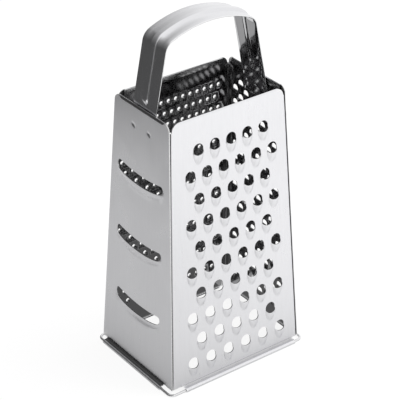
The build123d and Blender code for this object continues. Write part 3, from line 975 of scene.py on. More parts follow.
@dataclass
class ColumnWall(Wall):
    """A wall whose small teeth interlock, so that each column of teeth is a fanned strip.

    Attributes:
        least: height under which a plain end of a column is left out.
    """

    pattern: RowPattern | None = None
    tooth: Scoop | None = None
    least: float = 1e-7

    def fill(self) -> None:
        """Adds the columns of cells, the plain ends between them, then the rims."""
        pattern, frame, body = self.pattern, self.frame, self.body
        rise = body.height - body.foot_level
        levels = body.foot_level + (pattern.first_share
                                    - np.arange(pattern.rows) * pattern.row_share) * rise
        centre_v = frame.climb(levels)
        step = centre_v[0] - centre_v[1]
        high = centre_v[0] + 2 * step * (1 - pattern.below_share)
        low = centre_v[-1] - 2 * step * pattern.below_share
        for parity in (0, 1):
            v = centre_v[parity::2]
            count = pattern.few + parity
            for place in np.arange(count) - (count - 1) / 2:
                bottom = v - 2 * step * pattern.below_share
                top = bottom + 2 * step
                ends = self._strip(place, np.array([low, top[0]]),
                                   np.array([bottom[-1], high]))
                open_top, open_foot = top[0] < high - self.least, bottom[-1] > low + self.least
                self.add_flat(ends[[open_foot, open_top]])
                centres = np.stack([place * self._pitch(v), v], axis=-1)
                self.add_punched(centres, self._strip(place, bottom, top), self.tooth)
        outermost = pattern.few / 2 + 1 / 4
        low_end, high_end = outermost * self._pitch(low), outermost * self._pitch(high)
        self._add_margins(low, high, (-low_end, low_end), (-high_end, high_end))
        self.add_top(high)
        self.add_bottom(low)
        self.add_sides()

    def _pitch(self, v: Array | float) -> Array | float:
        """Spacing across the wall at a height v."""
        return self.pattern.pitch_share * 2 * self.frame.half(v)

    def _strip(self, place: float, low: Array, high: Array) -> Array:
        """Corners of the fanned cells of one column between pairs of heights."""
        first, last = place - 1 / 4, place + 1 / 4
        low_pitch, high_pitch = self._pitch(low), self._pitch(high)
        return strip_corners(low, high, (first * low_pitch, last * low_pitch),
                             (first * high_pitch, last * high_pitch))


@dataclass
class SlotWall(Wall):
    """The slicing wall, with its blades one above the other."""

    slots: int = 3
    first_level: float = 46.5 * MM
    pitch: float = 45.2 * MM
    margin: float = 2.5 * MM
    slot: Slot = field(default_factory=Slot)

    def fill(self) -> None:
        """Adds one cell for each blade, the strips beside them, then the rims."""
        step = self.pitch / math.cos(self.frame.lean)
        v = self.frame.climb(self.first_level) + step * np.arange(self.slots)
        low, high = v - step / 2, v + step / 2
        low_end, high_end = self.edge(low) - self.margin, self.edge(high) - self.margin
        ends = ((-low_end, low_end), (-high_end, high_end))
        self.add_punched(np.stack([0 * v, v], axis=-1), strip_corners(low, high, *ends),
                         self.slot)
        self._add_margins(low, high, *ends)
        self.add_top(high[-1])
        self.add_bottom(low[0])
        self.add_sides()


@dataclass(frozen=True)
class BaseWire:
    """Ring of round wire inside the curled rim, with rounded corners."""

    body: BodySizes
    corner: float = 3.6 * MM
    sides: int = 20
    corner_steps: int = 10

    def build(self, material: Material) -> Piece:
        """Carries a circle along a rounded rectangle and closes it on itself."""
        body = self.body
        half_x = body.base_half_width + body.flare_reach - self.corner
        half_y = body.base_half_depth + body.flare_reach - self.corner
        quarter = np.linspace(0.0, math.pi / 2, self.corner_steps + 1)
        turn = np.concatenate([quarter + k * math.pi / 2 for k in range(4)])
        sign_x = np.repeat([1, -1, -1, 1], len(quarter))
        sign_y = np.repeat([1, 1, -1, -1], len(quarter))
        normal = np.stack([np.cos(turn), np.sin(turn), 0 * turn], axis=-1)
        line = self.corner * normal + np.stack([sign_x * half_x, sign_y * half_y, 0 * turn], -1)
        line[:, 2] = body.rim_level
        around = np.linspace(0.0, 2 * math.pi, self.sides, endpoint=False)
        section = body.wire_radius * np.stack([np.cos(around), np.sin(around)], axis=-1)
        grid = (line[None] + section[:, None, :1] * normal[None]
                + section[:, None, 1:] * np.array([0.0, 0.0, 1.0]))
        mesh = SheetMesh()
        mesh.add(np.concatenate([grid, grid[:1]]), wear_and_card_glow=WIRE_WEAR, wrap=True)
        return mesh.finish("rim_wire", "base_wire", "wire_steel", material)


@dataclass(frozen=True)
class StrapHandle:
    """Pressed strap: two legs inside the side walls, tight shoulders and a shallow arch.

    Attributes:
        rib_half: half width of the raised rib at its foot.
        flank: width of the rib's sloping side.
        rib_end: height of the rib's end above the walls' top edge.
        rib_inset: how much the rib's hollow is narrower at each side, in thicknesses.
        inner_column: place of the first column beside the strap's edge, as a share.
    """

    body: BodySizes
    width: float = 23.0 * MM
    thickness: float = 0.9 * MM
    depth_inside: float = 16.5 * MM
    bend_drop: float = 10.0 * MM
    lean: float = math.radians(11.0)
    arch_radius: float = 69.0 * MM
    shoulder_radius: float = 9.0 * MM
    rib_height: float = 1.3 * MM
    rib_half: float = 2.9 * MM
    flank: float = 1.1 * MM
    rib_end: float = 2.5 * MM
    rib_inset: float = 0.45
    inner_column: float = 0.7
    arch_steps: int = 40
    shoulder_steps: int = 17
    leg_steps: int = 40
    foot_steps: int = 5
    rib_columns: int = 31
    edge_columns: int = 7

    def path(self) -> tuple[Array, Array]:
        """Outer line of the strap in the XZ plane, from the left foot to the right one.

        Returns:
            Points and outward unit normals, both of shape (n, 2).
        """
        body, radius = self.body, self.arch_radius
        centre_z = body.overall - self.rib_height - radius
        bend_z = body.height - self.bend_drop
        bend_x = body.half_width(bend_z) - body.sheet
        leg = np.array([-math.sin(self.lean), math.cos(self.lean)])
        side = np.array([math.cos(self.lean), math.sin(self.lean)])
        start = np.array([bend_x, bend_z]) - side * self.shoulder_radius
        from_centre = start - np.array([0.0, centre_z])
        reach = radius - self.shoulder_radius
        dot = from_centre @ leg
        run = -dot + math.sqrt(dot * dot - from_centre @ from_centre + reach * reach)
        centre = start + run * leg
        split = math.atan2(centre[0], centre[1] - centre_z)
        leg_turn = math.pi / 2 - self.lean
        arch = np.linspace(0.0, split, self.arch_steps)
        shoulder = np.linspace(split, leg_turn, self.shoulder_steps)[1:]
        normal_arch = np.stack([np.sin(arch), np.cos(arch)], -1)
        normal_shoulder = np.stack([np.sin(shoulder), np.cos(shoulder)], -1)
        down = np.linspace(0.0, run, self.leg_steps)[1:, None]
        foot_lean = math.atan((body.base_half_width - body.top_half_width)
                              / (body.height - body.rim_level))
        foot_dir = np.array([math.sin(foot_lean), -math.cos(foot_lean)])
        foot_normal = np.array([math.cos(foot_lean), math.sin(foot_lean)])
        foot_run = (self.depth_inside - self.bend_drop) / math.cos(foot_lean)
        along = np.linspace(0.0, foot_run, self.foot_steps)[1:, None]
        half_line = np.concatenate([
            np.array([0.0, centre_z]) + radius * normal_arch,
            centre + self.shoulder_radius * normal_shoulder,
            centre + self.shoulder_radius * side - leg * down,
            np.array([bend_x, bend_z]) + foot_dir * along,
        ])
        normals = np.concatenate([normal_arch, normal_shoulder,
                                  np.broadcast_to(side, (len(down), 2)),
                                  np.broadcast_to(foot_normal, (len(along), 2))])
        mirror = np.array([-1.0, 1.0])
        return (np.concatenate([half_line[:0:-1] * mirror, half_line]),
                np.concatenate([normals[:0:-1] * mirror, normals]))

    def rib(self, y: Array, level: Array, inset: float) -> Array:
        """Height of the rib: full up to its flank, rounded off in plan at its lower end."""
        end = self.body.height + self.rib_end + self.rib_half
        reach = np.hypot(y, np.maximum(end - level, 0.0))
        share = np.clip((self.rib_half - inset - reach) / self.flank, 0.0, 1.0)
        return self.rib_height * share * share * (3 - 2 * share)

    def build(self, material: Material) -> Piece:
        """Carries the strap's ribbed section along its line and closes both ends."""
        line, normal = self.path()
        level = line[:, 1][:, None]
        edge = self.thickness / 2
        half = self.width / 2 - edge
        near = self.inner_column * half
        middle = np.linspace(-self.rib_half, self.rib_half, self.rib_columns)
        y = np.concatenate([[-half, -near], middle, [near, half]])[None]
        outer = self.rib(y, level, 0.0)
        inner = self.rib(y, level, self.rib_inset * self.thickness) - self.thickness
        turn = np.linspace(0.0, math.pi, self.edge_columns)[1:-1][None]
        cap_y = half + edge * np.sin(turn)
        cap_w = -edge + edge * np.cos(turn) + 0 * level
        section_y = np.concatenate([y, cap_y, y[:, ::-1], -cap_y[:, ::-1]], axis=1)
        section_w = np.concatenate([outer, cap_w, inner[:, ::-1], cap_w[:, ::-1]], axis=1)
        points = np.stack([
            line[:, :1] + normal[:, :1] * section_w,
            np.broadcast_to(section_y, section_w.shape),
            line[:, 1:] + normal[:, 1:] * section_w,
        ], axis=-1)
        worn = 0 * cap_y + CAP_WEAR
        wear_and_card_glow = np.concatenate([0 * y, worn, 0 * y, worn], axis=1)
        # Painted shade: full on the strap's inner face, which takes the darker colour.
        back = np.concatenate([0 * y, 0 * cap_y, 0 * y + 1, 0 * cap_y], axis=1)
        mesh = SheetMesh()
        mesh.add(points, wear_and_card_glow=wear_and_card_glow, painted_shade=back, wrap=True, flip=True)
        across = points.shape[1] // 2
        for row, flip in ((0, False), (-1, True)):
            ring = np.roll(points[row], self.edge_columns // 2, axis=0)
            ring = np.concatenate([ring, ring[:1]])
            mesh.add(np.stack([ring[:across + 1], ring[across:][::-1]]), wear_and_card_glow=HEM_WEAR, flip=flip)
        return mesh.finish("strap_handle", "handle", "handle_steel", material)


class Grain(Enum):
    """Direction of the brushing, as the axis along which the grain is long."""

    UPRIGHT = (1.0, 1.0, 0.03)
    ACROSS = (0.03, 0.03, 1.0)
    ALONG_STRAP = (0.05, 1.0, 0.05)


def new_group(name: str, inputs: dict[str, tuple[str, object]],
              outputs: dict[str, str]) -> ShaderTree:
    """Makes an empty shader node group with named sockets.

    Args:
        name: the group's name.
        inputs: socket type and default value of each input.
        outputs: socket type of each output.

    Returns:
        The group, holding its input and output nodes.
    """
    tree = bpy.data.node_groups.new(name, "ShaderNodeTree")
    for label, (kind, value) in inputs.items():
        socket = tree.interface.new_socket(label, in_out="INPUT", socket_type=kind)
        if value is not None:
            socket.default_value = value
    for label, kind in outputs.items():
        tree.interface.new_socket(label, in_out="OUTPUT", socket_type=kind)
    tree.nodes.new("NodeGroupInput")
    tree.nodes.new("NodeGroupOutput")
    return tree


def math_node(tree: Tree, operation: str, first: object, second: object,
              clamp: bool = False) -> Socket:
    """Adds a Math node; each operand is a socket or a number."""
    node = tree.nodes.new("ShaderNodeMath")
    node.operation = operation
    node.use_clamp = clamp
    for place, value in enumerate((first, second)):
        if isinstance(value, Socket):
            tree.links.new(value, node.inputs[place])
        else:
            node.inputs[place].default_value = value
    return node.outputs[0]


def noise_node(tree: Tree, vector: Socket, scale: Socket, detail: float = 2.0,
               distortion: float = 0.0) -> Socket:
    """Adds a Noise Texture node and gives its value."""
    noise = tree.nodes.new("ShaderNodeTexNoise")
    noise.inputs["Detail"].default_value = detail
    noise.inputs["Distortion"].default_value = distortion
    tree.links.new(vector, noise.inputs["Vector"])
    tree.links.new(scale, noise.inputs["Scale"])
    return noise.outputs["Fac"]


@dataclass(frozen=True)
class BrushedGrain:
    """Fine parallel scratches of a brushed sheet, as a value around one half.

    Attributes:
        name: the group's name.
        scale: usual fineness, in cycles for each metre.
        bands: fineness of the two widths of scratch, as shares of the scale.
    """

    name: str = "brushed_grain"
    scale: float = 2600.0
    bands: tuple[float, float] = (1.0, 0.27)

    def build(self) -> ShaderTree:
        """Stretched noise at two widths, added up."""
        tree = new_group(self.name, {"Vector": ("NodeSocketVector", None),
                                     "Stretch": ("NodeSocketVector", (1.0, 1.0, 1.0)),
                                     "Scale": ("NodeSocketFloat", self.scale)},
                         {"Grain": "NodeSocketFloat"})
        source, result = tree.nodes["Group Input"], tree.nodes["Group Output"]
        stretch = tree.nodes.new("ShaderNodeVectorMath")
        stretch.operation = "MULTIPLY"
        tree.links.new(source.outputs["Vector"], stretch.inputs[0])
        tree.links.new(source.outputs["Stretch"], stretch.inputs[1])
        fine, coarse = [
            noise_node(tree, stretch.outputs[0],
                       math_node(tree, "MULTIPLY", source.outputs["Scale"], band))
            for band in self.bands]
        total = math_node(tree, "ADD", fine, coarse)
        tree.links.new(math_node(tree, "MULTIPLY", total, 1 / 2), result.inputs["Grain"])
        return tree


@dataclass(frozen=True)
class Handling:
    """Faint smears left by washing and handling, as a soft mask from 0 to 1.

    Attributes:
        name: the group's name.
        scale: usual fineness, in cycles for each metre.
        detail: layers of the noise.
        distortion: how much the noise is warped.
        middle: range of the noise that is spread over the whole mask.
    """

    name: str = "handling_marks"
    scale: float = 38.0
    detail: float = 3.0
    distortion: float = 0.8
    middle: tuple[float, float] = (0.35, 0.65)

    def build(self) -> ShaderTree:
        """Low noise, warped and spread over its middle range."""
        tree = new_group(self.name, {"Vector": ("NodeSocketVector", None),
                                     "Scale": ("NodeSocketFloat", self.scale)},
                         {"Mask": "NodeSocketFloat"})
        source, result = tree.nodes["Group Input"], tree.nodes["Group Output"]
        noise = noise_node(tree, source.outputs["Vector"], source.outputs["Scale"],
                           self.detail, self.distortion)
        spread = tree.nodes.new("ShaderNodeMapRange")
        spread.inputs["From Min"].default_value = self.middle[0]
        spread.inputs["From Max"].default_value = self.middle[1]
        tree.links.new(noise, spread.inputs["Value"])
        tree.links.new(spread.outputs["Result"], result.inputs["Mask"])
        return tree


@dataclass(frozen=True)
class EdgeWear:
    """Bright broken band along cut and folded edges, from the piece's wear attribute.

    Attributes:
        name: the group's name.
        scale: usual fineness, in cycles for each metre.
        lift: value added to the noise, so that little of an edge is left dull.
    """

    name: str = "edge_wear"
    scale: float = 900.0
    lift: float = 0.25

    def build(self) -> ShaderTree:
        """The edge value times a fine noise, sharpened."""
        tree = new_group(self.name, {"Vector": ("NodeSocketVector", None),
                                     "Edge": ("NodeSocketFloat", 0.0),
                                     "Scale": ("NodeSocketFloat", self.scale)},
                         {"Mask": "NodeSocketFloat"})
        source, result = tree.nodes["Group Input"], tree.nodes["Group Output"]
        noise = noise_node(tree, source.outputs["Vector"], source.outputs["Scale"])
        lifted = math_node(tree, "ADD", noise, self.lift)
        tree.links.new(math_node(tree, "MULTIPLY", lifted, source.outputs["Edge"], clamp=True),
                       result.inputs["Mask"])
        return tree


@dataclass(frozen=True)
class SteelFinish:
    """One finish of stainless steel.

    Attributes:
        name: the material's name.
        colour: base colour of the outside.
        painted_shade: base colour with painted shade, for the faces that look into the body and, in
            part, shaded folds and flares.
        edge: base colour of worn edges.
        roughness: roughness between the scratches.
        inside_polish: how much smoother the inside is.
        grain_depth: strength of the scratches' bump.
        grain: direction of the brushing.
        scale: fineness of the brushing, in cycles for each metre.
        tone_swing: how much the scratches change the tone.
        rough_swing: how much the scratches change the roughness.
        smear: how much rougher the handling marks are.
        rough_offset: what is taken off, so that the roughness stays around its value.
        bump_distance: depth of the scratches' bump.
    """

    name: str
    colour: tuple[float, float, float]
    painted_shade: tuple[float, float, float]
    edge: tuple[float, float, float] = (0.95, 0.95, 0.95)
    roughness: float = 0.3
    inside_polish: float = 0.12
    grain_depth: float = 0.05
    grain: Grain = Grain.UPRIGHT
    scale: float = 2600.0
    tone_swing: float = 0.12
    rough_swing: float = 0.14
    smear: float = 0.05
    rough_offset: float = 0.09
    bump_distance: float = 0.05 * MM

    def build(self, groups: dict[str, ShaderTree]) -> Material:
        """Makes the material from the shared groups.

        Args:
            groups: the node groups by name.

        Returns:
            The new material.
        """
        material = bpy.data.materials.new(self.name)
        material.use_nodes = True
        tree = material.node_tree
        shader = tree.nodes["Principled BSDF"]
        shader.inputs["Metallic"].default_value = 1.0
        place = tree.nodes.new("ShaderNodeTexCoord").outputs["Object"]
        grain = self._group(tree, groups["brushed_grain"], place)
        grain.inputs["Stretch"].default_value = self.grain.value
        grain.inputs["Scale"].default_value = self.scale
        marks = self._group(tree, groups["handling_marks"], place)
        wear_and_card_glow = self._group(tree, groups["edge_wear"], place)
        tree.links.new(self._attribute(tree, "wear_and_card_glow"), wear_and_card_glow.inputs["Edge"])
        # Painted shade: the colour turns to the darker one as the piece's painted shade rises.
        tone = self._mix(tree, self._attribute(tree, "painted_shade"), self.colour, self.painted_shade)
        worn = self._mix(tree, wear_and_card_glow.outputs["Mask"], tone, self.edge)
        shade = tree.nodes.new("ShaderNodeHueSaturation")
        lift = math_node(tree, "MULTIPLY", grain.outputs["Grain"], self.tone_swing)
        tree.links.new(math_node(tree, "ADD", lift, 1 - self.tone_swing / 2),
                       shade.inputs["Value"])
        tree.links.new(worn, shade.inputs["Color"])
        tree.links.new(shade.outputs["Color"], shader.inputs["Base Color"])
        spread = math_node(tree, "MULTIPLY", grain.outputs["Grain"], self.rough_swing)
        smear = math_node(tree, "MULTIPLY", marks.outputs["Mask"], self.smear)
        rough = math_node(tree, "ADD", math_node(tree, "ADD", spread, smear),
                          self.roughness - self.rough_offset)
        polish = math_node(tree, "MULTIPLY", self._attribute(tree, "painted_shade"),
                           self.inside_polish)
        tree.links.new(math_node(tree, "SUBTRACT", rough, polish), shader.inputs["Roughness"])
        bump = tree.nodes.new("ShaderNodeBump")
        bump.inputs["Strength"].default_value = self.grain_depth
        bump.inputs["Distance"].default_value = self.bump_distance
        tree.links.new(grain.outputs["Grain"], bump.inputs["Height"])
        tree.links.new(bump.outputs["Normal"], shader.inputs["Normal"])
        return material

    @staticmethod
    def _group(tree: Tree, group: ShaderTree, place: Socket) -> Node:
        """Places a shared group and feeds it the surface's coordinates."""
        node = tree.nodes.new("ShaderNodeGroup")
        node.node_tree = group
        tree.links.new(place, node.inputs["Vector"])
        return node

    @staticmethod
    def _attribute(tree: Tree, name: str) -> Socket:
        """Reads one of the piece's own point attributes."""
        node = tree.nodes.new("ShaderNodeAttribute")
        node.attribute_name = name
        return node.outputs["Fac"]

    @staticmethod
    def _mix(tree: Tree, share: Socket, first: object,
             second: tuple[float, float, float]) -> Socket:
        """Mixes a colour or colour socket with another colour."""
        node = tree.nodes.new("ShaderNodeMix")
        node.data_type = "RGBA"
        tree.links.new(share, node.inputs["Factor"])
        if isinstance(first, Socket):
            tree.links.new(first, node.inputs["A"])
        else:
            node.inputs["A"].default_value = (*first, 1.0)
        node.inputs["B"].default_value = (*second, 1.0)
        return node.outputs["Result"]


@dataclass(frozen=True)
class Lamp:
    """Rectangular soft lamp that points at the picture's middle.

    Attributes:
        name: name of the lamp.
        azimuth: its direction round the object, in degrees.
        elevation: its height angle, in degrees.
        distance: its distance from the target.
        size: its width and height.
        power: its power in watts.
    """

    name: str
    azimuth: float
    elevation: float
    distance: float
    size: tuple[float, float]
    power: float


@dataclass(frozen=True)
class Studio:
    """White table, soft lamps, cards that paint light and shade into the reflections, and the
    camera at the photograph's angle.

    Attributes:
        azimuth: camera's direction round the object, in degrees.
        elevation: camera's height angle, in degrees.
        distance: distance from the camera to its target.
        target: point in the middle of the picture.
        lens: focal length in millimetres.
        sensor: width of the sensor in millimetres.
        clip_start: nearest distance that the camera shows.
        lamps: the lamps.
        light: strength of the even light from all sides.
        floor_half: half width of the table.
        floor_colour: colour of the table.
        floor_roughness: roughness of the table.
        white_share: how far the table is shown as plain white.
        arc: first and last azimuth of the curved card of painted dark reflections behind the object,
            in degrees.
        arc_stops: azimuths where that card starts, is full, is full and ends.
        card_reach: distance of that card from the body's axis.
        card_height: its height.
        card_tones: levels on it, and its tones there, where 1 is white.
        card_steps: rows and columns of points of that card and of the one beside the slicing wall.
        table_level: level of the cards that lie on the table.
        table_gap: distance of those cards from the wall beside them.
        table_run: first and last y of the card beside the slicing wall.
        table_fade: places between which that card fades in.
        table_tones: distances from the slicing wall, and the card's tones there, a painted shadow of
            the body.
        front_run: first and last x of the card before the coarse wall.
        front_tones: distances from the coarse wall, and the card's tones there, painted light and
            shade on the table.
        front_steps: rows and columns of points of that card.
        front_slant: sideways run of that card's bright part for each step away.
        front_gain: places across that card, and how much its tones are raised there, a painted band
            of light.
        inner_shares: reach of the card inside, as shares of the body's half base.
        inner_tone: tone of the card inside, painted shade on the table under the body.
    """

    azimuth: float = -36.675
    elevation: float = 30.723
    distance: float = 0.9856
    target: tuple[float, float, float] = (-0.00022, 0.00016, 0.1046)
    lens: float = 144.0
    sensor: float = 36.0
    clip_start: float = 0.05
    lamps: tuple[Lamp, ...] = (
        Lamp("key", azimuth=60.0, elevation=48.0, distance=1.6, size=(1.2, 1.2), power=38.0),
        Lamp("top", azimuth=-10.0, elevation=84.0, distance=1.7, size=(1.0, 1.0), power=14.0),
    )
    light: float = 0.55
    floor_half: float = 4.0
    floor_colour: tuple[float, float, float, float] = (0.85, 0.85, 0.85, 1.0)
    floor_roughness: float = 0.9
    white_share: float = 0.9
    arc: tuple[float, float] = (140.0, 350.0)
    arc_stops: tuple[float, ...] = (140.0, 185.0, 328.0, 350.0)
    card_reach: float = 0.45
    card_height: float = 1.2
    card_tones: tuple[tuple[float, ...], ...] = (
        (0.0, 0.25, 0.45, 0.6, 0.8, 1.1), (0.08, 0.08, 0.2, 0.35, 0.6, 1.0))
    card_steps: tuple[int, int] = (60, 40)
    table_level: float = 0.0004
    table_gap: float = 0.003
    table_run: tuple[float, float] = (-0.16, 0.5)
    table_fade: tuple[float, float] = (-0.16, -0.06)
    table_tones: tuple[tuple[float, ...], ...] = (
        (0.0, 0.013, 0.047, 0.107, 0.15, 0.2, 0.27, 0.42),
        (0.43, 0.51, 0.585, 0.595, 0.55, 0.57, 0.28, 0.06))
    front_run: tuple[float, float] = (-0.05, 0.45)
    front_tones: tuple[tuple[float, ...], ...] = (
        (0.0, 0.017, 0.05, 0.17, 0.3), (0.6, 0.7, 0.8, 0.88, 1.0))
    front_steps: tuple[int, int] = (40, 20)
    front_slant: float = 0.685
    front_gain: tuple[tuple[float, float], ...] = ((-0.045, 0.045), (1.0, 1.18))
    inner_shares: tuple[float, float] = (0.92, 0.9)
    inner_tone: float = 0.3

    def direction(self, azimuth: float, elevation: float) -> Array:
        """Unit vector towards a place in the studio, azimuth 0 being in front."""
        a, e = math.radians(azimuth), math.radians(elevation)
        return np.array([math.sin(a) * math.cos(e), -math.cos(a) * math.cos(e), math.sin(e)])

    def add_camera(self) -> None:
        """Places the camera at its distance along the viewing direction."""
        data = bpy.data.cameras.new("camera")
        data.lens = self.lens
        data.sensor_width = self.sensor
        data.clip_start = self.clip_start
        camera = bpy.data.objects.new("camera", data)
        back = self.direction(self.azimuth, self.elevation)
        camera.location = np.array(self.target) + self.distance * back
        camera.rotation_euler = self._aim(-back)
        bpy.context.scene.collection.objects.link(camera)
        bpy.context.scene.camera = camera

    @staticmethod
    def _aim(forward: Array) -> tuple[float, float, float]:
        """Euler angles that point a camera or lamp's -Z axis along a direction."""
        flat = math.hypot(forward[0], forward[1])
        return (math.atan2(flat, -forward[2]), 0.0, math.atan2(-forward[0], forward[1]))

    def add_lamp(self, lamp: Lamp) -> None:
        """Adds one lamp, which reflections don't see."""
        data = bpy.data.lights.new(lamp.name, "AREA")
        data.shape = "RECTANGLE"
        data.size, data.size_y = lamp.size
        data.energy = lamp.power
        piece = bpy.data.objects.new(lamp.name, data)
        toward = self.direction(lamp.azimuth, lamp.elevation)
        piece.location = np.array(self.target) + lamp.distance * toward
        piece.rotation_euler = self._aim(-toward)
        piece.visible_glossy = False
        bpy.context.scene.collection.objects.link(piece)

    @staticmethod
    def show_instead(tree: Tree, usual: Node, shown: Node, output: str,
                     share: float = 1.0) -> None:
        """Sends one shader to the output, and another for the rays that see it directly.

        Args:
            tree: node tree of both shaders.
            usual: node of the shader for all other rays.
            shown: node of the shader for camera, glossy and transmission rays.
            output: name of the output node.
            share: how far the second shader takes over there.
        """
        path = tree.nodes.new("ShaderNodeLightPath")
        seen = path.outputs[SEEN_RAYS[0]]
        for name in SEEN_RAYS[1:]:
            seen = math_node(tree, "ADD", seen, path.outputs[name], clamp=True)
        mix = tree.nodes.new("ShaderNodeMixShader")
        tree.links.new(math_node(tree, "MULTIPLY", seen, share), mix.inputs["Fac"])
        tree.links.new(usual.outputs[0], mix.inputs[1])
        tree.links.new(shown.outputs[0], mix.inputs[2])
        tree.links.new(mix.outputs[0], tree.nodes[output].inputs["Surface"])

    def add_world(self) -> None:
        """White surroundings for what is seen and mirrored, and an even light on the rest."""
        world = bpy.data.worlds.new("studio")
        world.use_nodes = True
        bpy.context.scene.world = world
        tree = world.node_tree
        shown, lighting = tree.nodes["Background"], tree.nodes.new("ShaderNodeBackground")
        for node, strength in ((shown, 1.0), (lighting, self.light)):
            node.inputs["Color"].default_value = (1.0, 1.0, 1.0, 1.0)
            node.inputs["Strength"].default_value = strength
        self.show_instead(tree, lighting, shown, "World Output")

    def add_floor(self) -> None:
        """A wide pale table that shows nearly white and keeps a soft shadow."""
        half = self.floor_half
        share = np.linspace(-half, half, 3)
        x, y = np.meshgrid(share, share)
        mesh = SheetMesh()
        mesh.add(np.stack([x, y, 0 * x], axis=-1))
        floor = mesh.build("table_top")
        material = bpy.data.materials.new("pale_table")
        material.use_nodes = True
        tree = material.node_tree
        matte = tree.nodes["Principled BSDF"]
        matte.inputs["Base Color"].default_value = self.floor_colour
        matte.inputs["Roughness"].default_value = self.floor_roughness
        matte.inputs["Specular IOR Level"].default_value = 0.0
        bright = tree.nodes.new("ShaderNodeEmission")
        bright.inputs["Strength"].default_value = 1.0
        self.show_instead(tree, matte, bright, "Material Output", self.white_share)
        floor.data.materials.append(material)

    def add_card(self, name: str, x: Array, y: Array, z: Array | float,
                 tone: Array | float) -> None:
        """Adds a glowing card that only reflections see, painting light and shade for the metal.

        Args:
            name: name of the card.
            x, y, z: places of its points, in rows and columns.
            tone: brightness of each point, where 1 is white.
        """
        mesh = SheetMesh()
        # The card's painted glow is kept in the same point attribute as the walls' edge wear.
        mesh.add(np.stack(np.broadcast_arrays(x, y, z), axis=-1), wear_and_card_glow=tone)
        card = mesh.build(name)
        card.visible_camera = False
        card.visible_diffuse = False
        card.visible_shadow = False
        material = bpy.data.materials.new(name)
        material.use_nodes = True
        tree = material.node_tree
        tree.nodes.remove(tree.nodes["Principled BSDF"])
        glow = tree.nodes.new("ShaderNodeEmission")
        shade = tree.nodes.new("ShaderNodeAttribute")
        shade.attribute_name = "wear_and_card_glow"
        tree.links.new(shade.outputs["Fac"], glow.inputs["Strength"])
        tree.links.new(glow.outputs[0], tree.nodes["Material Output"].inputs["Surface"])
        card.data.materials.append(material)

    def add_cards(self, body: BodySizes) -> None:
        """Places the curved dark card behind, two grey ones on the table and the one inside.

        The curved card paints dark surroundings into the reflections: darkest low down, it fades to
        white upwards and at both ends. The cards on the table paint the body's shadow and a brighter
        table, with tones that follow the distance from the wall beside them; the one inside paints
        shade under the body.

        Args:
            body: main sizes of the body.
        """
        many, few = self.card_steps
        turn = np.radians(np.linspace(*self.arc, many))[None]
        level = np.linspace(0.0, self.card_height, few)[:, None]
        ends = np.interp(np.degrees(turn), self.arc_stops, (0.0, 1.0, 1.0, 0.0))
        self.add_card("dark_card", self.card_reach * np.sin(turn),
                      -self.card_reach * np.cos(turn), level,
                      1 - ends * (1 - np.interp(level, *self.card_tones)))
        away = np.linspace(0.0, self.table_tones[0][-1], many)[:, None]
        along = np.linspace(*self.table_run, few)[None]
        fade = np.interp(along, self.table_fade, (0.0, 1.0))
        self.add_card("grey_card", -body.base_half_width - self.table_gap - away, along,
                      self.table_level, 1 - fade * (1 - np.interp(away, *self.table_tones)))
        many, few = self.front_steps
        away = np.linspace(0.0, self.front_tones[0][-1], many)[:, None]
        along = np.linspace(*self.front_run, few)[None]
        gain = np.interp(along - self.front_slant * away, *self.front_gain)
        self.add_card("front_card", along, -body.base_half_depth - self.table_gap - away,
                      self.table_level, np.minimum(np.interp(away, *self.front_tones) * gain, 1.0))
        side = np.linspace(-1.0, 1.0, 3)
        self.add_card("inner_card", side[None] * self.inner_shares[0] * body.base_half_width,
                      side[:, None] * self.inner_shares[1] * body.base_half_depth,
                      self.table_level, self.inner_tone)

    def build(self, body: BodySizes) -> None:
        """Builds the whole studio around a body."""
        self.add_camera()
        self.add_world()
        self.add_floor()
        for lamp in self.lamps:
            self.add_lamp(lamp)
        self.add_cards(body)
        bpy.context.scene.view_settings.view_transform = "Standard"


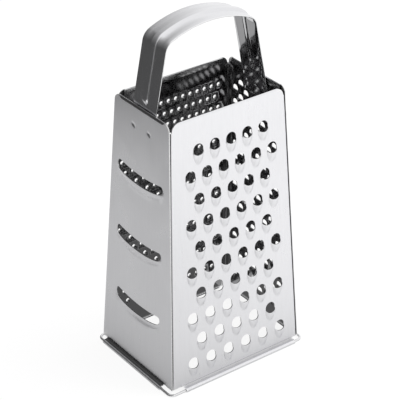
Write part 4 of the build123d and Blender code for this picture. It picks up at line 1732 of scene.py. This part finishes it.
class GraterMaker:
    """Builds every piece of the grater in order."""

    def __init__(self, body: BodySizes) -> None:
        """Keeps the body's sizes and makes the shared node groups and the finishes.

        Args:
            body: main sizes of the body.
        """
        self.body = body
        self.groups = {maker.name: maker.build()
                       for maker in (BrushedGrain(), Handling(), EdgeWear())}
        # The inside colours are painted shade, for inner faces, folds, flares and the strap's back.
        self.wall_steel = SteelFinish("wall_steel", colour=(0.86, 0.86, 0.88),
                                      painted_shade=(0.24, 0.24, 0.245), roughness=0.3,
                                      inside_polish=0.2)
        self.handle_steel = SteelFinish("handle_steel", colour=(0.8, 0.8, 0.82),
                                        painted_shade=(0.5, 0.5, 0.51), roughness=0.19,
                                        grain=Grain.ALONG_STRAP)
        self.wire_steel = SteelFinish("wire_steel", colour=(0.8, 0.8, 0.81),
                                      painted_shade=(0.5, 0.5, 0.5), roughness=0.2,
                                      grain=Grain.ACROSS)

    def _face(self, outward: tuple[float, float], reaches: tuple[float, float],
              halves: tuple[float, float]) -> WallFrame:
        """Leaning face of one wall.

        Args:
            outward: horizontal unit direction that the wall faces.
            reaches: distances from the body's axis at the rim level and at the top edge.
            halves: half spans at the rim level and at the top edge.

        Returns:
            The face.
        """
        rise = self.body.height - self.body.rim_level
        lean = math.atan((reaches[0] - reaches[1]) / rise)
        return WallFrame(outward=outward, reach=reaches[0], lean=lean,
                         rim_level=self.body.rim_level, length=rise / math.cos(lean),
                         base_half=halves[0], top_half=halves[1])

    def wide_frame(self, side: int) -> WallFrame:
        """Face of the coarse wall, side -1, or the fine wall, side 1."""
        body = self.body
        return self._face((0.0, float(side)), (body.base_half_depth, body.top_half_depth),
                          (body.base_half_width - body.sheet, body.top_half_width - body.sheet))

    def side_frame(self, side: int) -> WallFrame:
        """Face of the slicing wall, side -1, or the medium wall, side 1."""
        body = self.body
        return self._face((float(side), 0.0), (body.base_half_width, body.top_half_width),
                          (body.base_half_depth, body.top_half_depth))

    def walls(self) -> list[Wall]:
        """The four walls with their teeth, in build order."""
        body = self.body
        open_gap, tight_gap = 9.0 * MM, 4.6 * MM
        wide_top = TopEdge(inset=5.5 * MM, corner=5.0 * MM)
        side_top = TopEdge(inset=3.8 * MM, corner=4.4 * MM)
        slicer_frame = self.side_frame(-1)
        weld_u, weld_drop, lap = 7.8 * MM, 13.4 * MM, 4.2 * MM
        weld_v = slicer_frame.climb(body.height - weld_drop)
        return [
            RowWall("coarse_wall", "coarse_panel", self.wide_frame(-1), body, wide_top,
                    gaps=(open_gap, tight_gap), lap=lap, seam_shade=(1.0, 0.0),
                    pattern=RowPattern(rows=10, few=5, pitch_share=0.1377, first_share=0.8838,
                                       row_share=0.0896, below_share=0.685, shift=1.2 * MM),
                    tooth=Scoop(half=3.6 * MM, rise=1.7 * MM, length=6.6 * MM,
                                above=3.6 * MM, below=3.3 * MM, side=1.2 * MM,
                                counts=(20, 8, 8, 8), rings=8)),
            SlotWall("slicing_wall", "slicer_panel", slicer_frame, body, side_top,
                     gaps=(tight_gap, open_gap), rim_shade=1.0, roll_shade=0.7,
                     seam_shade=(0.0, 1.0),
                     dents=((-weld_u, weld_v), (weld_u, weld_v))),
            ColumnWall("medium_wall", "medium_panel", self.side_frame(1), body, side_top,
                       gaps=(tight_gap, tight_gap),
                       pattern=RowPattern(rows=30, few=4, pitch_share=0.1855,
                                          first_share=0.9127, row_share=0.0286,
                                          below_share=0.69),
                       tooth=Scoop(half=2.3 * MM, rise=1.3 * MM, length=4.2 * MM,
                                   above=2.5 * MM, below=2.1 * MM, side=0.7 * MM,
                                   counts=(8, 3, 4, 3), rings=4, margin_rings=1)),
            RowWall("fine_wall", "fine_panel", self.wide_frame(1), body, wide_top,
                    gaps=(tight_gap, tight_gap), lap=lap,
                    pattern=RowPattern(rows=18, few=13, pitch_share=0.0628,
                                       first_share=0.896, row_share=0.0462,
                                       shift=0.5 * MM, start=1),
                    tooth=Burr()),
        ]

    def build(self) -> None:
        """Builds and dresses all the pieces."""
        steel = self.wall_steel.build(self.groups)
        for wall in self.walls():
            wall.fill()
            wall.finish(steel, "wall_steel")
        BaseWire(self.body).build(self.wire_steel.build(self.groups))
        StrapHandle(self.body).build(self.handle_steel.build(self.groups))


def main() -> None:
    """Loads the frame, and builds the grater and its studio."""
    logging.basicConfig(level=logging.INFO, format="%(name)s: %(message)s")
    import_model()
    body = BodySizes.from_frame()
    GraterMaker(body).build()
    Studio().build(body)


if __name__ == "__main__":
    main()
